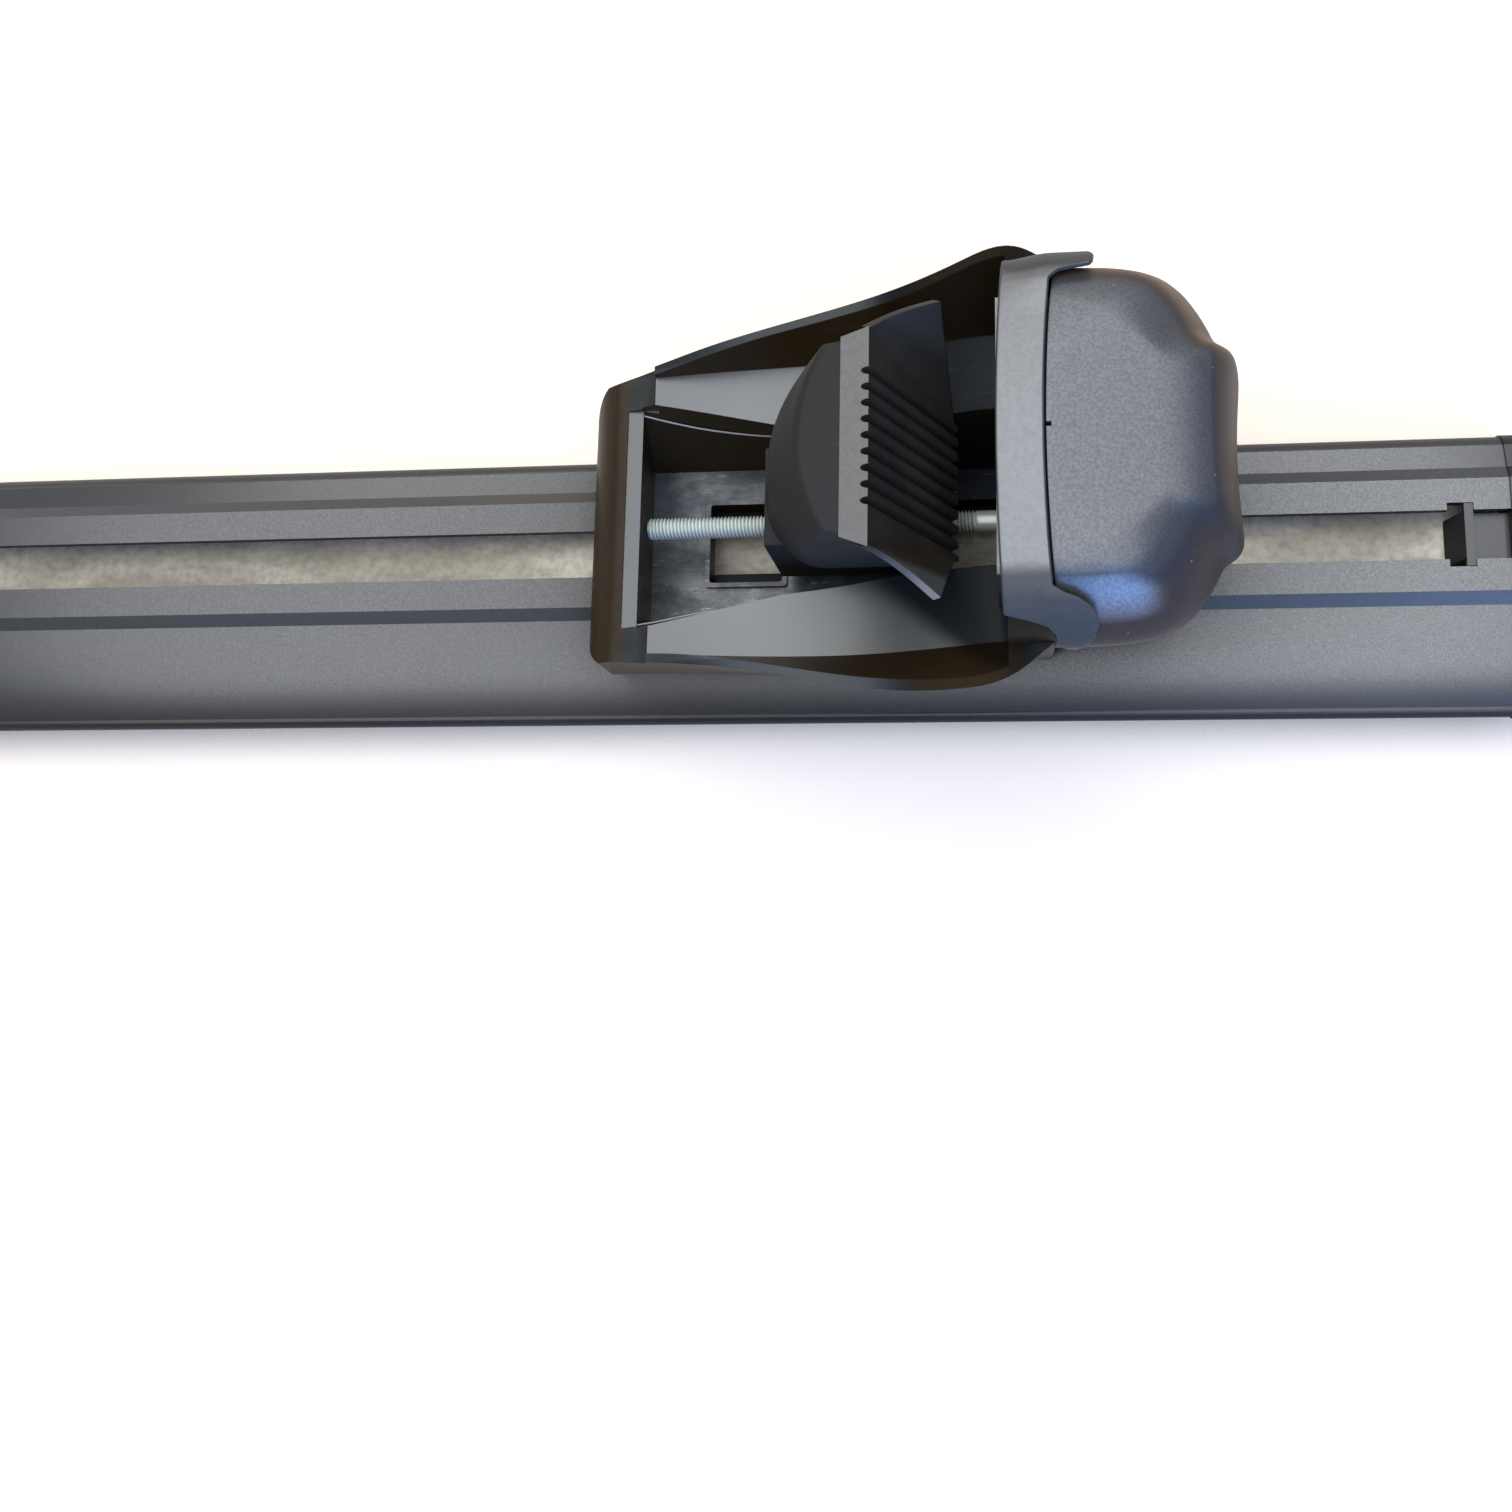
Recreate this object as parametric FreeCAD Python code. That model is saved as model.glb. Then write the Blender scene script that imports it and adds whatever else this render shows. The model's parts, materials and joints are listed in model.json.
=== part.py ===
import FreeCAD, Part
import math
import os

V = FreeCAD.Vector

# Roof rack crossbar, stored upside down as it lies on a bench.
# The load face is on the floor and the feet point up.
# X runs along the bar, Y points to the leading edge, Z points up.
# Local foot heights are measured up from the bar's slotted land.

# Bar
bar_length = 1200.0
cap_length = 12.0
bar_thickness = 28.0
lead_edge_y = 31.0
trail_edge_y = -49.0
lead_edge_drop = 10.6
trail_edge_drop = 12.0
trail_nose_height = 5.0
land_half_width = 16.0
step_width = 3.6
step_drop = 1.8
facet_width = 7.0
facet_drop = 1.7
load_flat_lead = 13.0
load_flat_trail = -16.0
bar_wall = 2.0
slot_opening = 14.0
slot_lip = 2.2
slot_channel = 23.0
slot_depth = 10.6
load_slot_opening = 11.0
load_slot_lip = 2.0
load_slot_channel = 19.0
load_slot_depth = 8.5
strip_clearance = 0.15

# End cap, with its slot tongue and snap tab
cap_proud = 0.4
cap_round = 2.4
cap_plug_length = 15.0
cap_plug_clearance = 0.3
tongue_clearance = 0.2
tongue_drop = 3.2
tab_offset = 10.0
tab_thickness = 2.4
tab_ramp = 3.0
notch_length = 7.1
notch_depth = 2.1

# Foot placement and fits
foot_inset = 198.0
foot_gap = 0.35
running_fit = 0.1
skirt_drop = 6.0
past = 1.0

# Foot base, local X along the bar and outward
base_inner_x = -67.5
base_corner_radius = 15.0
base_outer_x = 60.0
end_wall_inner_x = -50.0
end_wall_height = 33.5
end_wall_top = 4.4
end_wall_lean = 0.5
end_wall_half = 30.5
end_bulge_height = 14.0
end_bulge_half = 42.0
end_toe_step = 3.0
hull_belly_share = 0.45
ledge_wall_step = 0.4
ledge_wall_rise = 4.0
pocket_floor = 6.5
pocket_floor_end_x = -53.0
pocket_half_floor = 22.0
pocket_half_mid = 20.5
pocket_half_mouth = 30.5
pocket_waist_x = (-10.0, 20.0)
rim_wall = 2.4
tower_face_x = 49.2
tower_wall_end_x = 56.0
window_inner_x = -36.0
window_inner_end_x = -15.0
window_outer_x = 27.0
window_outer_end_x = 48.0
window_half_width = 11.5
window_corner = 3.5
window_rim = 1.3
window_rim_height = 1.2
window_rim_corner = 1.0
window_inner_corner = 0.8

# Bolt line
bolt_height = 23.0
bolt_radius = 3.0
bolt_hole_radius = 3.4
bolt_free_end_x = -50.2
bolt_tip_chamfer = 0.7
bolt_head_radius = 5.0
bolt_head_length = 6.0
hex_socket_across = 5.0
hex_socket_depth = 3.0
washer_radius = 7.5
washer_thickness = 1.6
head_play = 0.1

# Top outline shared by tower, strip and cover
crown_height = 96.0
crown_shoulder_y = 36.0
crown_shoulder_drop = 5.0
crown_side_y = 44.6
crown_side_drop = 12.0
rim_end_y = 46.3
rim_end_drop = 17.0
side_reach = 70.0
side_foot_y = 32.0
side_bow = 2.0

# Rail pad over the tower
rail_pad_top = 3.5
rail_pad_leg = 3.0
rail_pad_leg_bottom = 58.0
rail_pad_leg_half = 33.0
wing_tip_x = 70.2
wing_lift = 1.5
wing_gap = 0.35
wing_root_x = 57.0
wing_root_lift = 0.05

# Side view of the strip's lower edge and its wing, x and depth below the crown
strip_edge = ((46.2, 7.2), (51.9, 8.0), (56.0, 8.8))
wing_edge = (
    (56.0, 8.8),
    (58.3, 9.8),
    (59.8, 12.5),
    (60.6, 16.0),
    (62.1, 19.2),
    (64.4, 20.8),
    (66.7, 18.4),
    (68.6, 13.6),
    (69.7, 9.6),
    (68.6, 7.0),
    (65.1, 5.4),
    (60.3, 4.4),
)

# Outer cover
cover_end_x = 105.2
cover_wall = 2.6
cover_gap = 0.4
cover_root = 10.0
cover_bottom = 0.7
cover_tongue_half = 17.0
cover_tongue_plan = ((70.0, 35.6), (76.0, 31.5), (82.0, 23.0), (88.0, 18.6))
cover_scoop = 4.8
cover_scoop_half = 16.0
cover_top_end_x = 83.0
cover_top_end_height = 92.5
cover_bulge_height = 57.0
cover_foot_x = 98.0
cover_back = ((94.5, 84.5), (101.6, 71.5))
cover_notch_length = 3.2
cover_notch_width = 1.8
tower_floor = 4.0
sole_outline = ((55.0, 25.0), (71.0, 24.0), (82.0, 17.0), (87.0, 11.0))
sole_top = 5.0
rib_y = 15.0
rib_thickness = 3.0
rib_end_x = 84.0
rib_end_height = 12.0
rib_head_length = 8.0
rib_top = 74.0
spigot_length = 6.0
spigot_wall = 2.2

# Slot plate and its screws
plate_inner_x = -12.0
plate_outer_x = 26.0
plate_width = 21.0
plate_thickness = 4.0
plate_neck_width = 13.0
screw_x = (-3.0, 17.0)
screw_radius = 3.0
screw_head_radius = 6.0
screw_head_height = 3.0
screw_socket_depth = 2.0

# Jaw
jaw_shift = -1.7
pad_top = 91.5
pad_bottom = 47.0
pad_top_back_x = 13.0
pad_top_front_x = 19.6
pad_bottom_front_x = 38.3
pad_half_top = 26.4
pad_half_bottom = 18.0
pad_wing_tip_x = 35.7
pad_wing_tip_y = 36.2
pad_wing_tip_z = 82.0
pad_wing_foot_rise = 2.0
pad_wing_thickness = 2.0
pad_wing_root = 5.0
groove_count = 9
groove_pitch = 3.9
groove_width = 1.9
groove_depth = 1.8
jaw_half_top = 24.0
jaw_ear_x = 3.9
jaw_ear_half = 23.5
jaw_ear_height = 83.0
jaw_back_x = -5.0
jaw_back_height = 79.0
jaw_belly_x = -11.0
jaw_stem_half = 13.0
jaw_stem_bottom = 11.5
jaw_stem_front_x = 30.0
jaw_stem_corner = 8.0
jaw_bore_radius = 3.5
jaw_nut_across = 10.0
jaw_nut_length = 8.0
jaw_nut_x = 4.0

land_z = bar_thickness
bar_half = bar_length / 2.0 - cap_length
foot_x = bar_length / 2.0 - foot_inset


def face_of(points):
    """Plane face through a closed list of points."""
    return Part.Face(Part.makePolygon(points + [points[0]]))


def box(x0, x1, y0, y1, z0, z1):
    return Part.makeBox(x1 - x0, y1 - y0, z1 - z0, V(x0, y0, z0))


def arc(a, b, c):
    return Part.Arc(a, b, c).toShape()


def line(a, b):
    return Part.LineSegment(a, b).toShape()


def save(node, shape):
    shape = shape.removeSplitter()
    if not shape.isValid():
        print("not valid:", node)
    shape.exportStep("parts/" + node + ".step")
    print(node, "solids", len(shape.Solids), "volume", round(shape.Volume, 1))


# Bar

def bar_outline(x, grow=0.0):
    """Wing outline in the plane at x, without its slots, grown outward but never below the floor."""
    top = land_z + grow
    base = max(0.0, -grow)
    lead_y = lead_edge_y + grow
    trail_y = trail_edge_y - grow
    step_y = land_half_width + step_width
    low = top - step_drop
    facet_y = step_y + facet_width
    lead_z = land_z - lead_edge_drop
    trail_z = land_z - trail_edge_drop
    nose_y = trail_y + trail_nose_height / 2.0
    nose_up = V(x, nose_y, trail_z + trail_nose_height / 2.0)
    nose_down = V(x, nose_y, trail_z - trail_nose_height / 2.0)
    lead = V(x, lead_y, lead_z)
    facet_end = V(x, facet_y, low - facet_drop)
    rise = facet_end.z - lead_z
    run = lead_y - facet_y
    nose_radius = (run * run + rise * rise) / (2.0 * run)
    half = math.asin(rise / nose_radius) / 2.0
    centre_y = lead_y - nose_radius
    lead_mid = V(x, centre_y + nose_radius * math.cos(half), lead_z + nose_radius * math.sin(half))
    turn = math.radians(45.0)
    under_y = lead_y - load_flat_lead
    under_mid = V(x, load_flat_lead + under_y * math.sin(turn),
                  base + (lead_z - base) * (1.0 - math.cos(turn)))
    wide_run = abs(nose_y) - step_y
    wide_mid = V(x, -step_y - 0.52 * wide_run, low - 0.36 * (low - nose_up.z))
    deep = nose_down.z - base
    reach = load_flat_trail - nose_y
    belly_radius = (reach * reach + deep * deep) / (2.0 * deep)
    belly_half = math.asin(reach / belly_radius) / 2.0
    belly_mid = V(x, load_flat_trail - belly_radius * math.sin(belly_half),
                  base + belly_radius * (1.0 - math.cos(belly_half)))
    edges = [
        line(V(x, -land_half_width, top), V(x, land_half_width, top)),
        line(V(x, land_half_width, top), V(x, step_y, low)),
        line(V(x, step_y, low), facet_end),
        arc(facet_end, lead_mid, lead),
        arc(lead, under_mid, V(x, load_flat_lead, base)),
        line(V(x, load_flat_lead, base), V(x, load_flat_trail, base)),
        arc(V(x, load_flat_trail, base), belly_mid, nose_down),
        arc(nose_down, V(x, trail_y, trail_z), nose_up),
        arc(nose_up, wide_mid, V(x, -step_y, low)),
        line(V(x, -step_y, low), V(x, -land_half_width, top)),
    ]
    return Part.Wire(edges)


def slot_block():
    """Solid metal round the two slots, between the chambers."""
    half = slot_channel / 2.0 + bar_wall
    return box(-bar_half, bar_half, -half, half, 0.0, land_z)


def bar_extrusion():
    outline = Part.Face(bar_outline(-bar_half))
    body = outline.extrude(V(2.0 * bar_half, 0, 0))
    hollow = outline.makeOffset2D(-bar_wall).extrude(V(2.0 * bar_half, 0, 0))
    body = body.cut(hollow.cut(slot_block()))
    half_open = slot_opening / 2.0
    half_channel = slot_channel / 2.0
    floor_z = land_z - slot_depth
    body = body.cut(box(-bar_half, bar_half, -half_open, half_open, floor_z, land_z))
    body = body.cut(box(-bar_half, bar_half, -half_channel, half_channel, floor_z, land_z - slot_lip))
    half_open = load_slot_opening / 2.0
    half_channel = load_slot_channel / 2.0
    body = body.cut(box(-bar_half, bar_half, -half_open, half_open, 0.0, load_slot_depth))
    body = body.cut(box(-bar_half, bar_half, -half_channel, half_channel, load_slot_lip, load_slot_depth))
    core_z0 = load_slot_depth + bar_wall
    core_z1 = floor_z - bar_wall
    if core_z1 - core_z0 > bar_wall:
        body = body.cut(box(-bar_half, bar_half, -half_channel, half_channel, core_z0, core_z1))
    for side in (-1, 1):
        near = side * (bar_half - tab_offset)
        far = near - side * notch_length
        reach = slot_opening / 2.0 + notch_depth
        x0, x1 = min(near, far), max(near, far)
        body = body.cut(box(x0, x1, -reach, reach, land_z - slot_lip, land_z))
    return body


def load_strip():
    """Rubber infill of the load-side slot, a T moulding as long as the extrusion."""
    half_open = load_slot_opening / 2.0 - strip_clearance
    half_channel = load_slot_channel / 2.0 - strip_clearance
    neck = box(-bar_half, bar_half, -half_open, half_open, 0.0, load_slot_depth / 2.0)
    flange_z0 = load_slot_lip + strip_clearance
    flange = box(-bar_half, bar_half, -half_channel, half_channel, flange_z0,
                 load_slot_depth - strip_clearance)
    return neck.fuse(flange)


def end_cap():
    """Right-hand cap: rounded plug plate, tongue in the slot and a snap tab across it."""
    outline = Part.Face(bar_outline(bar_half))
    end_x = bar_half + cap_length
    plate = Part.makeLoft([bar_outline(bar_half, cap_proud),
                           bar_outline(end_x - cap_round, cap_proud),
                           bar_outline(end_x - 0.4 * cap_round, cap_proud - 0.3 * cap_round),
                           bar_outline(end_x, cap_proud - cap_round)], True, True)
    inner = outline.makeOffset2D(-bar_wall - cap_plug_clearance).extrude(V(-cap_plug_length, 0, 0))
    half = slot_channel / 2.0 + bar_wall + cap_plug_clearance
    plugs = inner.cut(box(bar_half - cap_plug_length - 1, bar_half + 1, -half, half, -1, land_z + 1))
    floor_z = land_z - slot_depth
    half_open = slot_opening / 2.0 - tongue_clearance
    tab_x1 = bar_half - tab_offset - tongue_clearance
    tab_x0 = tab_x1 - tab_thickness
    tongue = box(tab_x0, bar_half + 1.0, -half_open, half_open,
                 floor_z + tongue_clearance, land_z - tongue_drop)
    reach = slot_opening / 2.0 + notch_depth - tongue_clearance
    tab_z0 = land_z - slot_lip + tongue_clearance
    tab = box(tab_x0, tab_x1, -reach, reach, tab_z0, land_z)
    stem = box(tab_x0, tab_x1, -half_open, half_open, floor_z + tongue_clearance, land_z)
    ramp = face_of([
        V(tab_x0, -half_open, floor_z + tongue_clearance),
        V(tab_x0 - tab_ramp, -half_open, floor_z + tongue_clearance),
        V(tab_x0, -half_open, land_z - tongue_clearance),
    ]).extrude(V(0, 2.0 * half_open, 0))
    return plate.multiFuse([plugs, tongue, tab, stem, ramp])


# Foot outline shared by the tower, the strip and the cover

def crown_wire(x, inset, bottom):
    """Closed outline across the foot at x, moved inward by inset, down to height bottom."""
    top = land_z + crown_height - inset
    sh_y = crown_shoulder_y - inset * 0.6
    sh_z = land_z + crown_height - crown_shoulder_drop - inset * 0.9
    side_y = crown_side_y - inset
    side_z = land_z + crown_height - crown_side_drop - inset * 0.6
    end_y = rim_end_y - inset
    end_z = land_z + crown_height - rim_end_drop
    foot_y = side_foot_y - inset
    low_z = land_z + bottom
    mid_y = (end_y + foot_y) / 2.0 + side_bow
    mid_z = (end_z + land_z) / 2.0
    low_y = foot_y
    edges = [
        arc(V(x, -sh_y, sh_z), V(x, 0, top), V(x, sh_y, sh_z)),
        arc(V(x, sh_y, sh_z), V(x, side_y, side_z), V(x, end_y, end_z)),
        arc(V(x, end_y, end_z), V(x, mid_y, mid_z), V(x, low_y, low_z)),
        line(V(x, low_y, low_z), V(x, -low_y, low_z)),
        arc(V(x, -low_y, low_z), V(x, -mid_y, mid_z), V(x, -end_y, end_z)),
        arc(V(x, -end_y, end_z), V(x, -side_y, side_z), V(x, -sh_y, sh_z)),
    ]
    return Part.Wire(edges)


def crown_block(x0, x1, inset, bottom):
    return Part.Face(crown_wire(x0, inset, bottom)).extrude(V(x1 - x0, 0, 0))


# Foot base

rim_stations = (
    # x, half width at bottom, half width half way up, half width at rim, rim height
    (-68.0, 33.0, 39.5, 39.5, 36.4),
    (-54.0, 33.0, 39.5, 39.8, 36.4),
    (-32.0, 34.0, 40.5, 43.0, 44.7),
    (-15.0, 35.0, 41.5, 45.8, 49.0),
    (0.0, 36.0, 42.0, 48.8, 50.8),
    (15.0, 36.5, 42.5, 51.6, 53.6),
    (27.0, 36.5, 43.0, 53.3, 58.6),
    (38.0, 35.5, 43.0, 54.3, 66.0),
    (46.0, 34.5, 42.5, 54.2, 72.4),
    (53.0, 33.0, 41.5, 51.5, 77.0),
    (60.0, 31.0, 40.5, 46.3, 79.0),
)

ledge_stations = (
    # x, ledge height, half width at the ledge's outer edge
    (-70.0, 37.0, 38.5),
    (-46.0, 37.0, 38.5),
    (-20.0, 37.5, 39.5),
    (0.0, 38.5, 40.0),
    (20.0, 44.0, 40.5),
    (36.0, 50.0, 40.5),
    (49.2, 52.5, 40.0),
)


def between(table, x, column):
    """Value of one column of a station table at x, straight between stations."""
    for low, high in zip(table, table[1:]):
        if low[0] <= x <= high[0]:
            share = (x - low[0]) / (high[0] - low[0])
            return low[column] + share * (high[column] - low[column])
    return table[-1][column] if x > table[-1][0] else table[0][column]


def section(x, pairs):
    """Closed wire across the foot, mirrored about the centre plane."""
    right = [V(x, y, land_z + z) for y, z in pairs]
    left = [V(x, -y, land_z + z) for y, z in reversed(pairs)]
    return Part.makePolygon(right + left + [right[0]])


def base_hull():
    wires = []
    for x, low_y, mid_y, rim_y, rim_z in rim_stations:
        mid_z = rim_z * hull_belly_share
        wires.append(section(x, [(low_y, -skirt_drop), (mid_y, mid_z), (rim_y, rim_z)]))
    return Part.makeLoft(wires, True, False)


end_dome = (
    # x and height of the inner end's rounded profile, from the bulge up to the ledges
    (base_inner_x, end_bulge_height),
    (-65.6, 23.0),
    (-61.5, 29.4),
    (-54.4, 33.4),
    (-46.0, 37.0),
)


def base_end_limits():
    """Rounded inner end of the base: plan corners and the curved end wall."""
    r = base_corner_radius
    x0 = base_inner_x
    half = end_bulge_half
    bend = r * (1.0 - math.sqrt(0.5))
    z0 = land_z - skirt_drop - past
    plan = Part.Wire([
        line(V(x0, half - r, z0), V(x0, r - half, z0)),
        arc(V(x0, r - half, z0), V(x0 + bend, bend - half, z0), V(x0 + r, -half, z0)),
        line(V(x0 + r, -half, z0), V(x0 + 2 * r, -2 * half, z0)),
        line(V(x0 + 2 * r, -2 * half, z0), V(2 * base_outer_x, -2 * half, z0)),
        line(V(2 * base_outer_x, -2 * half, z0), V(2 * base_outer_x, 2 * half, z0)),
        line(V(2 * base_outer_x, 2 * half, z0), V(x0 + 2 * r, 2 * half, z0)),
        line(V(x0 + 2 * r, 2 * half, z0), V(x0 + r, half, z0)),
        arc(V(x0 + r, half, z0), V(x0 + bend, half - bend, z0), V(x0, half - r, z0)),
    ])
    tall = crown_height + skirt_drop + 2.0 * past
    limit = Part.Face(plan).extrude(V(0, 0, tall))
    y0 = -2 * half
    dome = [V(x, y0, land_z + z) for x, z in end_dome]
    over = land_z + crown_height
    toe = V(x0 + end_toe_step, y0, z0)
    inner_over = V(end_wall_inner_x + end_wall_top, y0, over)
    outer_over = V(2 * base_outer_x, y0, over)
    outer_low = V(2 * base_outer_x, y0, z0)
    curve = Part.BSplineCurve()
    curve.interpolate(dome)
    side = Part.Wire([
        line(toe, dome[0]),
        curve.toShape(),
        line(dome[-1], inner_over),
        line(inner_over, outer_over),
        line(outer_over, outer_low),
        line(outer_low, toe),
    ])
    return limit.common(Part.Face(side).extrude(V(0, 4 * half, 0)))


def base_cavity():
    """Room above the ledges, between the flared side walls."""
    wires = []
    for x, ledge_z, ledge_y in ledge_stations:
        rim_y = between(rim_stations, x, 3) - rim_wall
        rim_z = between(rim_stations, x, 4)
        wall_y = max(rim_y, ledge_y + ledge_wall_step)
        wall_z = max(rim_z, ledge_z + ledge_wall_rise)
        lean = (wall_y - ledge_y) / (wall_z - ledge_z)
        high = 1.1 * crown_height
        high_y = wall_y + lean * (high - wall_z)
        wires.append(section(x, [(ledge_y, ledge_z), (wall_y, wall_z), (high_y, high)]))
    return Part.makeLoft(wires, True, False)


def end_wall_flat():
    """Room above the flat top of the inner end wall, which leans a little outward."""
    x0 = end_wall_inner_x - end_wall_top
    x1 = end_wall_inner_x + end_wall_top
    z1 = land_z + end_wall_height
    z0 = z1 - end_wall_lean
    over = land_z + crown_height
    y = -end_wall_half
    side = face_of([V(x0, y, z0), V(end_wall_inner_x, y, z1), V(x1, y, z1), V(x1, y, over), V(x0, y, over)])
    return side.extrude(V(0, 2.0 * end_wall_half, 0))


def base_pocket():
    """Deep pocket that holds the rod and the jaw's stem."""
    def ring(z, x0, y0, y1, y2):
        waist, neck = pocket_waist_x
        pts = [V(x0, y0, z), V(waist, y1, z), V(neck, y2, z), V(tower_face_x, y2, z)]
        back = [V(p.x, -p.y, z) for p in reversed(pts)]
        return Part.makePolygon(pts + back + [pts[0]])
    floor = ring(land_z + pocket_floor, pocket_floor_end_x, pocket_half_floor,
                 pocket_half_floor, pocket_half_mid)
    top_z = land_z + crown_height
    scale = (crown_height - pocket_floor) / (end_wall_height - pocket_floor)
    mouth_x = pocket_floor_end_x + (end_wall_inner_x - pocket_floor_end_x) * scale
    mouth_y = pocket_half_floor + (pocket_half_mouth - pocket_half_floor) * scale
    mid_y = pocket_half_floor + 1.0 * scale
    mouth = ring(top_z, mouth_x, mouth_y, mid_y, pocket_half_mid)
    return Part.makeLoft([floor, mouth], True, True)


def window(x0, x1, half, z0, z1, radius):
    body = box(x0, x1, -half, half, z0, z1)
    upright = [e for e in body.Edges if e.BoundBox.ZLength > radius]
    return body.makeFillet(radius, upright)


def bar_clearance():
    """The bar's outside, grown by the sliding gap."""
    outline = Part.Face(bar_outline(base_inner_x - past))
    return outline.makeOffset2D(foot_gap).extrude(V(cover_end_x - base_inner_x + 2.0 * past, 0, 0))


def strip_side():
    """Side views of the strip and of its wings alone, pushed through the whole width."""
    y0 = -side_reach
    crown_z = land_z + crown_height
    poles = [V(x, y0, crown_z - drop) for x, drop in wing_edge]
    lobe = Part.BSplineCurve()
    lobe.interpolate(poles)
    over = crown_z + past
    lower = [V(x, y0, crown_z - drop) for x, drop in strip_edge]
    end = poles[-1]
    edges = [line(a, b) for a, b in zip(lower, lower[1:])]
    edges.append(lobe.toShape())
    edges.append(line(end, V(end.x, y0, over)))
    edges.append(line(V(end.x, y0, over), V(lower[0].x, y0, over)))
    edges.append(line(V(lower[0].x, y0, over), lower[0]))
    whole = Part.Face(Part.Wire(edges)).extrude(V(0, 2.0 * side_reach, 0))
    inner = V(wing_root_x - past, y0, end.z + past)
    edges = [lobe.toShape(), line(end, inner), line(inner, poles[0])]
    wings = Part.Face(Part.Wire(edges)).extrude(V(0, 2.0 * side_reach, 0))
    return whole, wings


def tower():
    """Outer tower: thrust wall, seat for the cover and the ribs behind it."""
    inside = rail_pad_top
    wall = crown_block(tower_face_x, base_outer_x, inside, -skirt_drop)
    shoulder = crown_block(tower_face_x, base_outer_x, 0.0, -skirt_drop).cut(strip_side()[0])
    wall = wall.fuse(shoulder)
    room = crown_block(tower_wall_end_x, base_outer_x + past, inside + spigot_wall + cover_wall, tower_floor)
    wall = wall.cut(room)
    spigot_end = base_outer_x + spigot_length
    spigot = crown_block(tower_wall_end_x, spigot_end, inside, cover_bottom)
    spigot = spigot.cut(crown_block(tower_wall_end_x - past, spigot_end + past, inside + spigot_wall, tower_floor))
    ribs = []
    for side in (-1, 1):
        y = side * rib_y - rib_thickness / 2.0
        low = land_z + past
        rib = face_of([
            V(tower_wall_end_x - past, y, low),
            V(rib_end_x, y, low),
            V(rib_end_x, y, land_z + rib_end_height),
            V(tower_wall_end_x + rib_head_length, y, land_z + rib_top),
            V(tower_wall_end_x - past, y, land_z + rib_top),
        ]).extrude(V(0, rib_thickness, 0))
        ribs.append(rib)
    sole_plan = [V(x, y, land_z - past) for x, y in sole_outline]
    sole_plan += [V(x, -y, land_z - past) for x, y in reversed(sole_outline)]
    plate = face_of(sole_plan).extrude(V(0, 0, sole_top + past))
    return wall.multiFuse([spigot, plate] + ribs)


def foot_base():
    body = base_hull().common(base_end_limits())
    behind = crown_block(tower_wall_end_x, base_outer_x + past, rail_pad_top + spigot_wall, tower_floor)
    body = body.cut(behind)
    body = body.fuse(tower())
    cavity = base_cavity().fuse(base_pocket())
    body = body.cut(cavity).cut(end_wall_flat())
    floor_z = land_z - skirt_drop
    top_z = land_z + pocket_floor + past
    frame = window(window_inner_x - window_rim, window_inner_end_x + window_rim,
                   window_half_width + window_rim, land_z + past,
                   land_z + pocket_floor + window_rim_height, window_rim_corner)
    body = body.fuse(frame)
    body = body.cut(window(window_inner_x, window_inner_end_x, window_half_width,
                           floor_z, top_z + window_rim_height, window_inner_corner))
    body = body.cut(window(window_outer_x, window_outer_end_x, window_half_width,
                           floor_z, top_z, window_corner))
    axis_start = V(tower_face_x - past, 0, land_z + bolt_height)
    wall = tower_wall_end_x - tower_face_x + 2.0 * past
    body = body.cut(Part.makeCylinder(bolt_hole_radius, wall, axis_start, V(1, 0, 0)))
    up = V(0, 0, 1)
    for x in screw_x:
        at = V(x, 0, land_z - past)
        body = body.cut(Part.makeCylinder(screw_radius + running_fit, pocket_floor + past, at, up))
        seat = V(x, 0, land_z + pocket_floor - screw_head_height)
        body = body.cut(Part.makeCylinder(screw_head_radius + running_fit, screw_head_height + past, seat, up))
    return body.cut(bar_clearance())


def rail_pad():
    """Rubber strip over the tower, its leg on the rail side and its two wings."""
    side, wing_side = strip_side()
    x0 = tower_face_x - rail_pad_leg
    top = crown_block(x0, base_outer_x, 0.0, 0.0)
    top = top.cut(crown_block(x0 - past, base_outer_x + past, rail_pad_top, 0.0))
    body = top.common(side)
    leg = crown_block(x0, tower_face_x, 0.9 * rail_pad_top, 0.0)
    half = rail_pad_leg_half
    leg_z = land_z + rail_pad_leg_bottom
    body = body.fuse(leg.common(box(x0, tower_face_x, -half, half, leg_z, land_z + crown_height)))
    seam_x = base_outer_x + cover_gap
    wing = Part.makeLoft([crown_wire(wing_root_x, -wing_root_lift, 0.0), crown_wire(seam_x, -wing_lift, 0.0),
                          crown_wire(wing_tip_x, -wing_lift, 0.0)], True, True)
    wing = wing.cut(crown_block(base_outer_x, wing_tip_x + past, -wing_gap, -past))
    wing = wing.cut(crown_block(wing_root_x - past, base_outer_x, rail_pad_top, -past))
    return body.fuse(wing.common(wing_side))


# Cover

cover_levels = (
    # height, half width, outer end
    (-8.0, 29.5, 96.5),
    (24.0, 37.9, 100.4),
    (60.0, 44.5, 102.8),
    (74.0, 46.0, 100.0),
    (84.0, 44.4, 94.6),
    (89.5, 39.2, 88.6),
    (92.5, 31.0, 82.5),
)

cover_plan_shape = (
    # share of the length, share of the half width at the bottom, and from the bulge up
    (0.42, 0.93, 0.985),
    (0.68, 0.85, 0.935),
    (0.82, 0.72, 0.81),
    (0.93, 0.48, 0.55),
)


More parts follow.
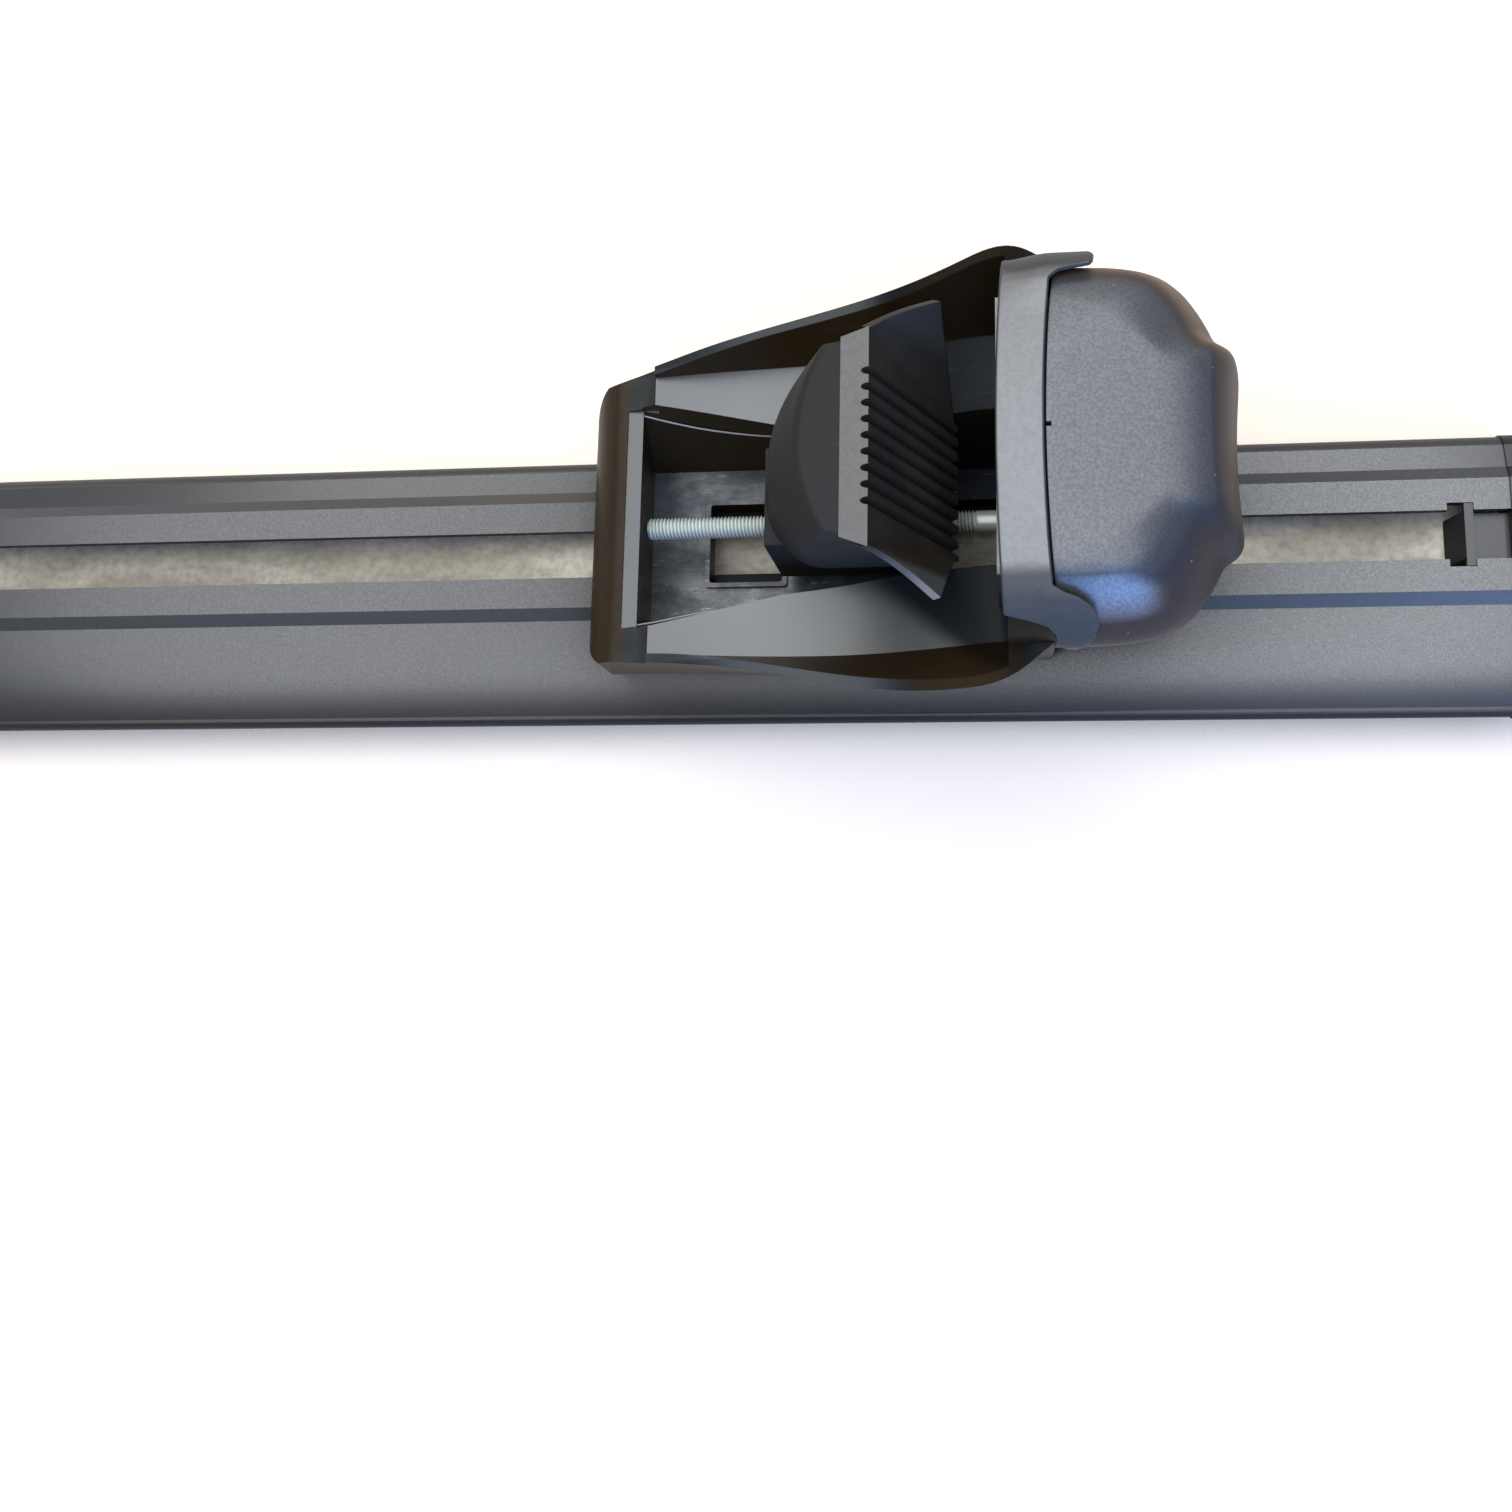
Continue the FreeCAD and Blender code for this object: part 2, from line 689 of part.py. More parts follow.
def cover_plan(z, half, end_x, level):
    """Plan points of the cover's rounded hull at height z, shaped as its outline at level."""
    x0 = base_outer_x - cover_root
    low = cover_levels[0][0]
    share = min(1.0, (level - low) / (cover_bulge_height - low))
    near = [V(x0, half, z)]
    for along, below, above in cover_plan_shape:
        across = below + share * (above - below)
        near.append(V(x0 + along * (end_x - x0), across * half, z))
    far = [V(p.x, -p.y, z) for p in reversed(near)]
    return near + [V(end_x, 0, z)] + far


def cover_hull():
    rings = []
    for z, half, end_x in cover_levels:
        points = cover_plan(land_z + z, half, end_x, z)
        curve = Part.BSplineCurve()
        curve.interpolate(points)
        rings.append(Part.Wire([curve.toShape(), line(points[-1], points[0])]))
    return Part.makeLoft(rings, True, False)


def faceted(rings):
    """Solid of flat faces through closed rings of points, one above the other."""
    faces = [face_of(rings[0]), face_of(rings[-1])]
    for low, high in zip(rings, rings[1:]):
        for a, b, c, d in zip(low, low[1:] + low[:1], high, high[1:] + high[:1]):
            faces.append(face_of([a, b, d]))
            faces.append(face_of([a, d, c]))
    return Part.Solid(Part.Shell(faces))


def cover_room():
    """Space inside the cover: a coarse copy of its hull, one wall further in."""
    rings = []
    for z, half, end_x in cover_levels[::2]:
        drop = cover_wall if z > cover_bulge_height else 0.0
        rings.append(cover_plan(land_z + z - drop, half - cover_wall, end_x - cover_scoop, z))
    seat_end = base_outer_x + spigot_length + past
    seat = crown_block(base_outer_x - past, seat_end, cover_wall, -skirt_drop - past)
    return faceted(rings).fuse(seat)


def cover_tongue():
    """Raised flat of the cover: wide at the seam, narrow where it falls to the outer end."""
    x0 = base_outer_x - cover_root
    wide = crown_shoulder_y
    z0 = land_z + cover_levels[0][0]
    near = [V(x0, wide, z0), V(base_outer_x, wide, z0)]
    near += [V(x, y, z0) for x, y in cover_tongue_plan]
    near.append(V(cover_end_x, cover_tongue_half, z0))
    far = [V(p.x, -p.y, z0) for p in near]
    edges = []
    for points in (near, far):
        curve = Part.BSplineCurve()
        curve.interpolate(points)
        edges.append(curve.toShape())
    edges.append(line(near[0], far[0]))
    edges.append(line(near[-1], far[-1]))
    plan = Part.Wire(Part.__sortEdges__(edges))
    top = land_z + crown_height
    body = Part.Face(plan).extrude(V(0, 0, top - z0))
    side = [(cover_top_end_x, cover_top_end_height)]
    side += cover_back
    side += [(cover_end_x, cover_bulge_height), (cover_end_x - 1.0, 36.0), (cover_foot_x, -2.0)]
    y0 = -wide - past
    poles = [V(x, y0, land_z + z) for x, z in side]
    curve = Part.BSplineCurve()
    curve.interpolate(poles)
    corner = V(x0, y0, top)
    foot = V(cover_foot_x, y0, z0)
    low = V(x0, y0, z0)
    profile = Part.Wire([line(corner, poles[0]), curve.toShape(), line(poles[-1], foot), line(foot, low),
                         line(low, corner)])
    body = body.common(Part.Face(profile).extrude(V(0, 2 * (wide + past), 0)))
    return body.common(crown_block(x0, cover_end_x, 0.0, cover_levels[0][0]))


def cover_scoop_cutter():
    """Upright cylinder that hollows the outer end between its two bulges."""
    half = cover_scoop_half
    radius = (half * half + cover_scoop * cover_scoop) / (2.0 * cover_scoop)
    low = V(cover_end_x - cover_scoop + radius, 0, land_z + cover_levels[0][0])
    return Part.makeCylinder(radius, 1.1 * crown_height, low)


def outer_cover():
    low = cover_levels[0][0]
    body = cover_hull().common(crown_block(base_outer_x - past, cover_end_x, 0.0, low - past))
    body = body.fuse(cover_tongue()).cut(cover_room()).cut(cover_scoop_cutter())
    start = base_outer_x + cover_gap
    top = land_z + crown_height + past
    body = body.common(box(start, cover_end_x, -side_reach, side_reach, land_z + cover_bottom, top))
    half = cover_notch_width / 2.0
    body = body.cut(box(start, start + cover_notch_length, -half, half, land_z + cover_bulge_height, top))
    return body.cut(bar_clearance())


# Bolt, plate and screws

def clamp_bolt():
    axis = V(1, 0, 0)
    start = V(bolt_free_end_x, 0, land_z + bolt_height)
    head_x = tower_wall_end_x + washer_thickness + head_play
    shank = Part.makeCylinder(bolt_radius, head_x - bolt_free_end_x, start, axis)
    tip = [e for e in shank.Edges if abs(e.BoundBox.XMax - bolt_free_end_x) < 0.01]
    shank = shank.makeChamfer(bolt_tip_chamfer, tip)
    at = V(head_x, 0, land_z + bolt_height)
    head = Part.makeCylinder(bolt_head_radius, bolt_head_length, at, axis)
    across = hex_socket_across / math.sqrt(3.0)
    end_x = head_x + bolt_head_length
    ring = []
    for step in range(6):
        angle = math.radians(60.0 * step)
        ring.append(V(end_x, across * math.cos(angle), land_z + bolt_height + across * math.sin(angle)))
    socket = face_of(ring).extrude(V(-hex_socket_depth, 0, 0))
    return shank.fuse(head.cut(socket))


def thrust_washer():
    at = V(tower_wall_end_x, 0, land_z + bolt_height)
    outer = Part.makeCylinder(washer_radius, washer_thickness, at, V(1, 0, 0))
    return outer.cut(Part.makeCylinder(bolt_radius + running_fit, washer_thickness, at, V(1, 0, 0)))


def slot_plate():
    top = land_z - slot_lip - foot_gap
    half = plate_width / 2.0
    body = box(plate_inner_x, plate_outer_x, -half, half, top - plate_thickness, top)
    half = plate_neck_width / 2.0
    body = body.fuse(box(plate_inner_x, plate_outer_x, -half, half, top, land_z + foot_gap))
    for x in screw_x:
        at = V(x, 0, top - plate_thickness)
        body = body.cut(Part.makeCylinder(screw_radius, bar_thickness, at, V(0, 0, 1)))
    return body


def slot_screws():
    screws = []
    low = land_z - slot_lip - foot_gap - plate_thickness
    seat = land_z + pocket_floor - screw_head_height
    for x in screw_x:
        shank = Part.makeCylinder(screw_radius, seat - low, V(x, 0, low), V(0, 0, 1))
        head = Part.makeCylinder(screw_head_radius, screw_head_height, V(x, 0, seat), V(0, 0, 1))
        across = hex_socket_across / math.sqrt(3.0)
        ring = []
        for step in range(6):
            angle = math.radians(60.0 * step)
            ring.append(V(x + across * math.cos(angle), across * math.sin(angle), seat + screw_head_height))
        head = head.cut(face_of(ring).extrude(V(0, 0, -screw_socket_depth)))
        screws.append(shank.fuse(head))
    return Part.makeCompound(screws)


# Jaw

def pad_front_x(z):
    share = (pad_top - z) / (pad_top - pad_bottom)
    return pad_top_front_x + share * (pad_bottom_front_x - pad_top_front_x)


def pad_back_x(z):
    return pad_front_x(z) - (pad_top_front_x - pad_top_back_x)


def jaw_pad():
    """Grooved rubber face of the jaw with its two flared wings."""
    zt = land_z + pad_top
    zb = land_z + pad_bottom
    top = Part.makePolygon([
        V(pad_top_back_x, -jaw_half_top, zt), V(pad_top_front_x, -pad_half_top, zt),
        V(pad_top_front_x, pad_half_top, zt), V(pad_top_back_x, jaw_half_top, zt),
        V(pad_top_back_x, -jaw_half_top, zt)])
    xb = pad_back_x(pad_bottom)
    low = Part.makePolygon([
        V(xb, -pad_half_bottom, zb), V(pad_bottom_front_x, -pad_half_bottom, zb),
        V(pad_bottom_front_x, pad_half_bottom, zb), V(xb, pad_half_bottom, zb),
        V(xb, -pad_half_bottom, zb)])
    body = Part.makeLoft([low, top], True, True)
    for side in (-1, 1):
        root = V(pad_top_front_x, side * pad_half_top, zt)
        tip = V(pad_wing_tip_x, side * pad_wing_tip_y, land_z + pad_wing_tip_z)
        foot = V(pad_front_x(pad_bottom + pad_wing_foot_rise), side * pad_half_bottom, zb + pad_wing_foot_rise)
        front = Part.makePolygon([root, tip, foot, root])
        shift = V(-pad_wing_thickness, side * 0.6, 0)
        deep = V(-pad_wing_root, -side * pad_wing_root / 2.0, 0)
        back = Part.makePolygon([root + deep, tip + shift, foot + deep, root + deep])
        body = body.fuse(Part.makeLoft([front, back], True, True))
    first = -(groove_count - 1) / 2.0 * groove_pitch
    half = groove_width / 2.0
    for index in range(groove_count):
        y = first + index * groove_pitch
        low_x = pad_front_x(pad_bottom - past)
        cutter = face_of([
            V(pad_top_front_x - groove_depth, y - half, zt + past),
            V(low_x - groove_depth, y - half, zb - past),
            V(low_x + groove_depth, y - half, zb - past),
            V(pad_top_front_x + groove_depth, y - half, zt + past),
        ]).extrude(V(0, groove_width, 0))
        body = body.cut(cutter)
    return body


def jaw_plan(z, back_x, ear_x, ear_y, front_x, front_y):
    """Plan outline of the jaw at one height, with a bowed back."""
    bow = V(back_x, 0, z)
    return Part.Wire([
        line(V(front_x, -front_y, z), V(front_x, front_y, z)),
        line(V(front_x, front_y, z), V(ear_x, ear_y, z)),
        arc(V(ear_x, ear_y, z), bow, V(ear_x, -ear_y, z)),
        line(V(ear_x, -ear_y, z), V(front_x, -front_y, z)),
    ])


def jaw_block():
    """Jaw casting: bowed back, seat for the pad and the stem round the rod."""
    heights = (
        # z, back x, ear x, ear half width, front half width
        (pad_bottom + 0.5, jaw_belly_x - 0.5, 2.0, 19.0, pad_half_bottom + 1.0),
        (62.0, jaw_belly_x + 2.5, 1.5, 20.5, 20.5),
        (jaw_back_height, jaw_back_x, jaw_ear_x, jaw_ear_half - 1.0, 23.0),
        (pad_top - 0.3, 2.5, 9.0, jaw_half_top - 1.0, jaw_half_top - 0.2),
    )
    wires = []
    for z, back_x, ear_x, ear_y, front_y in heights:
        wires.append(jaw_plan(land_z + z, back_x, ear_x, ear_y, pad_back_x(z), front_y))
    head = Part.makeLoft(wires, True, False)
    stem = box(jaw_belly_x - 0.5, jaw_stem_front_x, -jaw_stem_half, jaw_stem_half,
               land_z + jaw_stem_bottom, land_z + pad_bottom + 2.0)
    along = [e for e in stem.Edges if e.BoundBox.XLength > jaw_stem_half and e.BoundBox.ZMax < land_z + bolt_height]
    stem = stem.makeFillet(jaw_stem_corner, along)
    body = head.fuse(stem)
    start = V(base_inner_x, 0, land_z + bolt_height)
    bore = Part.makeCylinder(jaw_bore_radius, cover_end_x - base_inner_x, start, V(1, 0, 0))
    body = body.cut(bore)
    half = jaw_nut_across / 2.0
    x0 = jaw_nut_x - jaw_nut_length / 2.0
    return body.cut(box(x0, x0 + jaw_nut_length, -half, half,
                        land_z + bolt_height - half, land_z + bolt_height + half))


def jaw_nut():
    """Square nut held in the jaw's stem."""
    half = jaw_nut_across / 2.0
    x0 = jaw_nut_x - jaw_nut_length / 2.0
    body = box(x0, x0 + jaw_nut_length, -half, half,
               land_z + bolt_height - half, land_z + bolt_height + half)
    at = V(x0, 0, land_z + bolt_height)
    return body.cut(Part.makeCylinder(bolt_radius + running_fit, jaw_nut_length, at, V(1, 0, 0)))


os.makedirs("parts", exist_ok=True)

save("bar_extrusion", bar_extrusion())
save("load_strip", load_strip())

cap = end_cap()
save("end_cap_right", cap)
save("end_cap_left", cap.mirror(V(0, 0, 0), V(1, 0, 0)))

foot_parts = (
    ("foot_base", foot_base(), 0.0),
    ("rail_pad", rail_pad(), 0.0),
    ("outer_cover", outer_cover(), 0.0),
    ("clamp_bolt", clamp_bolt(), 0.0),
    ("thrust_washer", thrust_washer(), 0.0),
    ("slot_plate", slot_plate(), 0.0),
    ("slot_screws", slot_screws(), 0.0),
    ("jaw_block", jaw_block(), jaw_shift),
    ("jaw_pad", jaw_pad(), jaw_shift),
    ("jaw_nut", jaw_nut(), jaw_shift),
)
for name, shape, shift in foot_parts:
    placed = shape.copy()
    placed.translate(V(foot_x + shift, 0, 0))
    save(name + "_right", placed)
    save(name + "_left", placed.mirror(V(0, 0, 0), V(1, 0, 0)))
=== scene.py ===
import json
import math

import bmesh
import bpy
import numpy as np
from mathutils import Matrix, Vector


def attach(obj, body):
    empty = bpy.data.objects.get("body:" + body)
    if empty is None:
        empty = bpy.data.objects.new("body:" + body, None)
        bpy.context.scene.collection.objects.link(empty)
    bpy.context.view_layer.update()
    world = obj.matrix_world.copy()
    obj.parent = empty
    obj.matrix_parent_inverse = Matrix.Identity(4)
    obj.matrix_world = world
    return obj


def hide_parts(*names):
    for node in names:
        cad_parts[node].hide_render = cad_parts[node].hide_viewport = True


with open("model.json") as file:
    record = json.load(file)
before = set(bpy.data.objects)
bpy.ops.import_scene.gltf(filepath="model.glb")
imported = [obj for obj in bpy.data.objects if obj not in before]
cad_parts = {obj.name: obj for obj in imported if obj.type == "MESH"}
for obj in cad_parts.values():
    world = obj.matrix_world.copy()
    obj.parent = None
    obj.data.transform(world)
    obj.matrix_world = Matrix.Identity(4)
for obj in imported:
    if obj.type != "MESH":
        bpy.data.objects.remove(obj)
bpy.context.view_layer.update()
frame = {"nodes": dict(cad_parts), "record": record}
print("crossbar: frame loaded, nodes", len(frame["nodes"]))

mm = 0.001
barLayout = {
    "footX": 402.0,  # middle of a foot, from the middle of the bar
    "landZ": 28.0,  # slotted land that the feet stand on
    "jawShift": -1.7,  # where the jaw rests on its rod
}
sides = {"right": 1.0, "left": -1.0}


# Node maths

class Signal:
    # wraps one socket, so that shader maths reads as an expression
    def __init__(self, owner, socket):
        self.owner = owner
        self.socket = socket

    def joined(self, operation, other, flipped=False):
        pair = (other, self) if flipped else (self, other)
        return self.owner.node("ShaderNodeMath", {"operation": operation}, {0: pair[0], 1: pair[1]})

    def __add__(self, other):
        return self.joined("ADD", other)

    def __radd__(self, other):
        return self.joined("ADD", other, True)

    def __sub__(self, other):
        return self.joined("SUBTRACT", other)

    def __rsub__(self, other):
        return self.joined("SUBTRACT", other, True)

    def __mul__(self, other):
        return self.joined("MULTIPLY", other)

    def __rmul__(self, other):
        return self.joined("MULTIPLY", other, True)

    def below(self, other):
        return self.joined("LESS_THAN", other)

    def above(self, other):
        return self.joined("GREATER_THAN", other)

    def size(self):
        return self.owner.node("ShaderNodeMath", {"operation": "ABSOLUTE"}, {0: self})

    def spread(self, low, high, start=0.0, end=1.0):
        # rises smoothly from start to end while the value goes from low to high
        return self.owner.node("ShaderNodeMapRange", {"interpolation_type": "SMOOTHSTEP"},
                                {0: self, 1: low, 2: high, 3: start, 4: end})


class NodeTree:
    # the nodes of one material or of the world
    def __init__(self, tree):
        self.tree = tree
        self.tree.nodes.clear()

    def node(self, kind, settings, sockets, output=0):
        made = self.tree.nodes.new(kind)
        for key, value in settings.items():
            setattr(made, key, value)
        for key, value in sockets.items():
            if isinstance(value, Signal):
                self.tree.links.new(value.socket, made.inputs[key])
            else:
                made.inputs[key].default_value = value
        return Signal(self, made.outputs[output]) if made.outputs else None

    def seenDirectly(self):
        # one for the rays that show the background
        camera, glossy, through = [self.node("ShaderNodeLightPath", {}, {}, "Is " + name + " Ray")
                                   for name in ("Camera", "Glossy", "Transmission")]
        return camera + glossy + through


# painted sheen: how much satin skin a surface gets from the way it faces
paintedSheenLook = {
    "up": (0.8, 0.955), "least": 0.02,
    # painted sheen on the flanks to the bar's rear: how far they face there, face up and face along the bar
    "rear": (0.4, 0.58), "rearUp": (0.56, 0.8), "rearAlong": (0.3, 0.55),
}


class Finish(NodeTree):
    # one material
    def __init__(self, name):
        self.material = bpy.data.materials.new(name)
        self.material.use_nodes = True
        super().__init__(self.material.node_tree)
        self.place = self.node("ShaderNodeTexCoord", {}, {}, "Object")
        self.x, self.y, self.z = [self.node("ShaderNodeSeparateXYZ", {}, {0: self.place}, axis)
                                  for axis in range(3)]

    def noise(self, scale, detail=3.0, rough=0.55, where=None):
        return self.node("ShaderNodeTexNoise", {}, {"Vector": where or self.place, "Scale": scale,
                                                    "Detail": detail, "Roughness": rough})

    def stretched(self, alongX, alongY, alongZ):
        # coordinates squeezed or drawn out, for streaks and grain
        return self.node("ShaderNodeVectorMath", {"operation": "MULTIPLY"},
                         {0: self.place, 1: (alongX, alongY, alongZ)})

    def cells(self, scale):
        return self.node("ShaderNodeTexVoronoi", {}, {"Vector": self.place, "Scale": scale})

    def mixed(self, share, first, second):
        return self.node("ShaderNodeMix", {"data_type": "RGBA", "clamp_factor": True},
                         {0: share, 6: first, 7: second}, 2)

    def facing(self, axis):
        # how far the surface faces along one axis of the part
        normal = self.node("ShaderNodeNewGeometry", {}, {}, "Normal")
        turned = self.node("ShaderNodeVectorTransform",
                           {"vector_type": "NORMAL", "convert_from": "WORLD", "convert_to": "OBJECT"},
                           {0: normal})
        return self.node("ShaderNodeSeparateXYZ", {}, {0: turned}, axis)

    def paintedTopSheen(self, up=paintedSheenLook["up"], least=paintedSheenLook["least"]):
        # painted sheen: the satin skin is fullest on what faces up and thinner elsewhere, standing in for
        # light from above
        return self.facing(2).spread(*up, least, 1.0)

    def paintedRearSheen(self):
        # the same painted sheen, and as full on the flanks that face the bar's rear
        flank = (0.0 - self.facing(1)).spread(*paintedSheenLook["rear"])
        flank = flank * self.facing(2).spread(*paintedSheenLook["rearUp"])
        flank = flank * self.facing(0).size().spread(*paintedSheenLook["rearAlong"], 1.0, 0.0)
        return self.paintedTopSheen().joined("MAXIMUM", flank)

    def openness(self, reach):
        # one in the open, and falling towards zero close beside other surfaces
        return self.node("ShaderNodeAmbientOcclusion", {"samples": 4}, {"Distance": reach}, "AO")

    def surface(self, colour, roughness, height=None, reach=0.0002, strength=0.5, edge=0.0, **constants):
        # constants go straight to the shader's own sockets
        sockets = {"Base Color": colour, "Roughness": roughness}
        normal = {}
        if edge > 0.0:
            normal = {"Normal": self.node("ShaderNodeBevel", {"samples": 4}, {"Radius": edge})}
        if height is not None:
            bump = {"Height": height, "Distance": reach, "Strength": strength}
            normal = {"Normal": self.node("ShaderNodeBump", {}, {**bump, **normal})}
        sockets.update(normal)
        sockets.update({name.replace("_", " "): value for name, value in constants.items()})
        shader = self.node("ShaderNodeBsdfPrincipled", {}, sockets)
        self.node("ShaderNodeOutputMaterial", {}, {"Surface": shader})
        return self.material


def grey(value, warm=0.0):
    # linear grey, warmer above zero and cooler below
    return (value * (1.0 + warm), value, value * (1.0 - warm), 1.0)


# Mesh helpers, in millimetres from the middle of a foot's seat

def smoothTable(at, knots, values):
    # cubic curve through a table, held flat past its ends
    knots = np.asarray(knots, float)
    values = np.asarray(values, float)
    slopes = np.gradient(values, knots)
    at = np.clip(at, knots[0], knots[-1])
    index = np.clip(np.searchsorted(knots, at) - 1, 0, len(knots) - 2)
    span = knots[index + 1] - knots[index]
    t = (at - knots[index]) / span
    a = (1 + 2 * t) * (1 - t) ** 2
    b = t * (1 - t) ** 2
    c = t * t * (3 - 2 * t)
    d = t * t * (t - 1)
    return a * values[index] + b * span * slopes[index] + c * values[index + 1] + d * span * slopes[index + 1]


def softStep(value, low, high):
    t = np.clip((value - low) / (high - low), 0.0, 1.0)
    return t * t * (3 - 2 * t)


def softMax(a, b, reach):
    blend = np.maximum(reach - np.abs(a - b), 0.0) / reach
    return np.maximum(a, b) + blend * blend * reach * 0.25


def softMin(a, b, reach):
    return -softMax(-a, -b, reach)


def circleThrough(a, b, c, count):
    # points of the arc from a over b to c, in a plane
    left = np.array([[b[0] - a[0], b[1] - a[1]], [c[0] - a[0], c[1] - a[1]]]) * 2.0
    right = np.array([b[0] ** 2 + b[1] ** 2 - a[0] ** 2 - a[1] ** 2,
                      c[0] ** 2 + c[1] ** 2 - a[0] ** 2 - a[1] ** 2])
    centre = np.linalg.solve(left, right)
    radius = math.hypot(a[0] - centre[0], a[1] - centre[1])
    start, mid, end = [math.atan2(p[1] - centre[1], p[0] - centre[0]) for p in (a, b, c)]
    turn = (end - start) % math.tau
    if (mid - start) % math.tau > turn:
        turn -= math.tau
    angles = start + np.linspace(0.0, turn, count)
    return np.stack([centre[0] + radius * np.cos(angles), centre[1] + radius * np.sin(angles)], 1)


def gridFaces(rows, columns, closedRows=False, closedColumns=False, offset=0):
    faces = []
    for i in range(rows if closedRows else rows - 1):
        for j in range(columns if closedColumns else columns - 1):
            a = i * columns + j
            b = i * columns + (j + 1) % columns
            c = ((i + 1) % rows) * columns + (j + 1) % columns
            d = ((i + 1) % rows) * columns + j
            faces.append((offset + a, offset + b, offset + c, offset + d))
    return faces


def shell(outer, inner):
    # closed solid between two grids of the same size
    rows, columns = outer.shape[:2]
    count = rows * columns
    points = np.concatenate([outer.reshape(-1, 3), inner.reshape(-1, 3)])
    faces = gridFaces(rows, columns)
    faces += [tuple(reversed(face)) for face in gridFaces(rows, columns, offset=count)]
    rim = [j for j in range(columns)]
    rim += [i * columns + columns - 1 for i in range(1, rows)]
    rim += [(rows - 1) * columns + j for j in range(columns - 2, -1, -1)]
    rim += [i * columns for i in range(rows - 2, 0, -1)]
    for a, b in zip(rim, rim[1:] + rim[:1]):
        faces.append((b, a, a + count, b + count))
    return points, faces


def block(x0, x1, y0, y1, z0, z1):
    points = np.array([(x, y, z) for z in (z0, z1) for y in (y0, y1) for x in (x0, x1)], float)
    faces = [(0, 2, 3, 1), (4, 5, 7, 6), (0, 1, 5, 4), (2, 6, 7, 3), (0, 4, 6, 2), (1, 3, 7, 5)]
    return points, faces


def ring(x, y, z, radius, turn):
    # a round or lobed section across the bar's direction
    return np.stack([np.full(len(turn), x), y + radius * np.cos(turn), z + radius * np.sin(turn)], 1)


def ringStack(rings):
    # closed solid through a row of sections
    grid = np.array(rings)
    count, width = grid.shape[:2]
    faces = gridFaces(count, width, closedColumns=True)
    faces.append(tuple(range(width))[::-1])
    faces.append(tuple((count - 1) * width + j for j in range(width)))
    return grid.reshape(-1, 3), faces


def joined(*solids):
    points, faces, start = [], [], 0
    for own, ownFaces in solids:
        points.append(np.asarray(own, float))
        faces += [tuple(start + i for i in face) for face in ownFaces]
        start += len(own)
    return np.concatenate(points), faces


def makePiece(name, solid, side, body, material, stands, shift=0.0, sharp=38.0, weld=1e-6):
    # a foot's piece on its own side of the bar, mirrored for the left
    points, faces = solid
    sign = sides[side]
    placed = np.array(points, float)
    placed[:, 0] = sign * (placed[:, 0] + barLayout["footX"] + shift)
    placed[:, 2] += barLayout["landZ"]
    if sign < 0:
        faces = [tuple(reversed(face)) for face in faces]
    mesh = bpy.data.meshes.new(name)
    mesh.from_pydata((placed * mm).tolist(), [], faces)
    work = bmesh.new()
    work.from_mesh(mesh)
    bmesh.ops.remove_doubles(work, verts=work.verts, dist=weld)
    bmesh.ops.recalc_face_normals(work, faces=work.faces)
    work.to_mesh(mesh)
    work.free()
    mesh.validate()
    mesh.shade_smooth()
    mesh.set_sharp_from_angle(angle=math.radians(sharp))
    piece = bpy.data.objects.new(name, mesh)
    bpy.context.scene.collection.objects.link(piece)
    mesh.materials.append(material)
    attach(piece, body)
    if stands:
        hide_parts(*stands)
    return piece


# Finishes

coatLook = {
    "coat": 0.05, "rough": 0.42, "skin": 2.26, "skinRough": 0.2, "skinUp": (0.82, 0.95), "skinRear": -0.031,
    "grain": 2700.0, "grainSkin": (0.34, 0.66, 0.62, 1.0), "cloud": 14.0,
    "sparkle": 1900.0, "sparkleShare": 0.16, "sparkleColour": 0.42,
    # painted shade: the rear nose turns away, so it is painted darker and browner
    "nose": (0.033, 0.0495), "noseShadeColour": (0.028, 0.021, 0.016, 1.0), "noseShare": 0.7, "noseSkin": 0.62,
    # painted shade: the slot is painted dark, but for its bare mill floor
    "slotHalf": 0.00705, "slotLow": 0.016, "slotHigh": 0.0277, "slotShadeColour": 0.01,
    "floorLow": 0.017, "floorHigh": 0.0178, "floorHalf": 0.0116, "floorMetal": 0.4, "floorRough": 0.06,
    "millDull": (0.4, 0.37, 0.31, 1.0), "millBright": (0.7, 0.65, 0.56, 1.0),
    "millStain": (0.24, 0.215, 0.18, 1.0),
    # painted shade and painted reflection: darker and with less skin close beside the dark feet that stand on
    # it, as if it mirrored them
    "feetReach": 0.07, "feetOpen": (0.5, 0.92), "feetShade": 0.8,
}


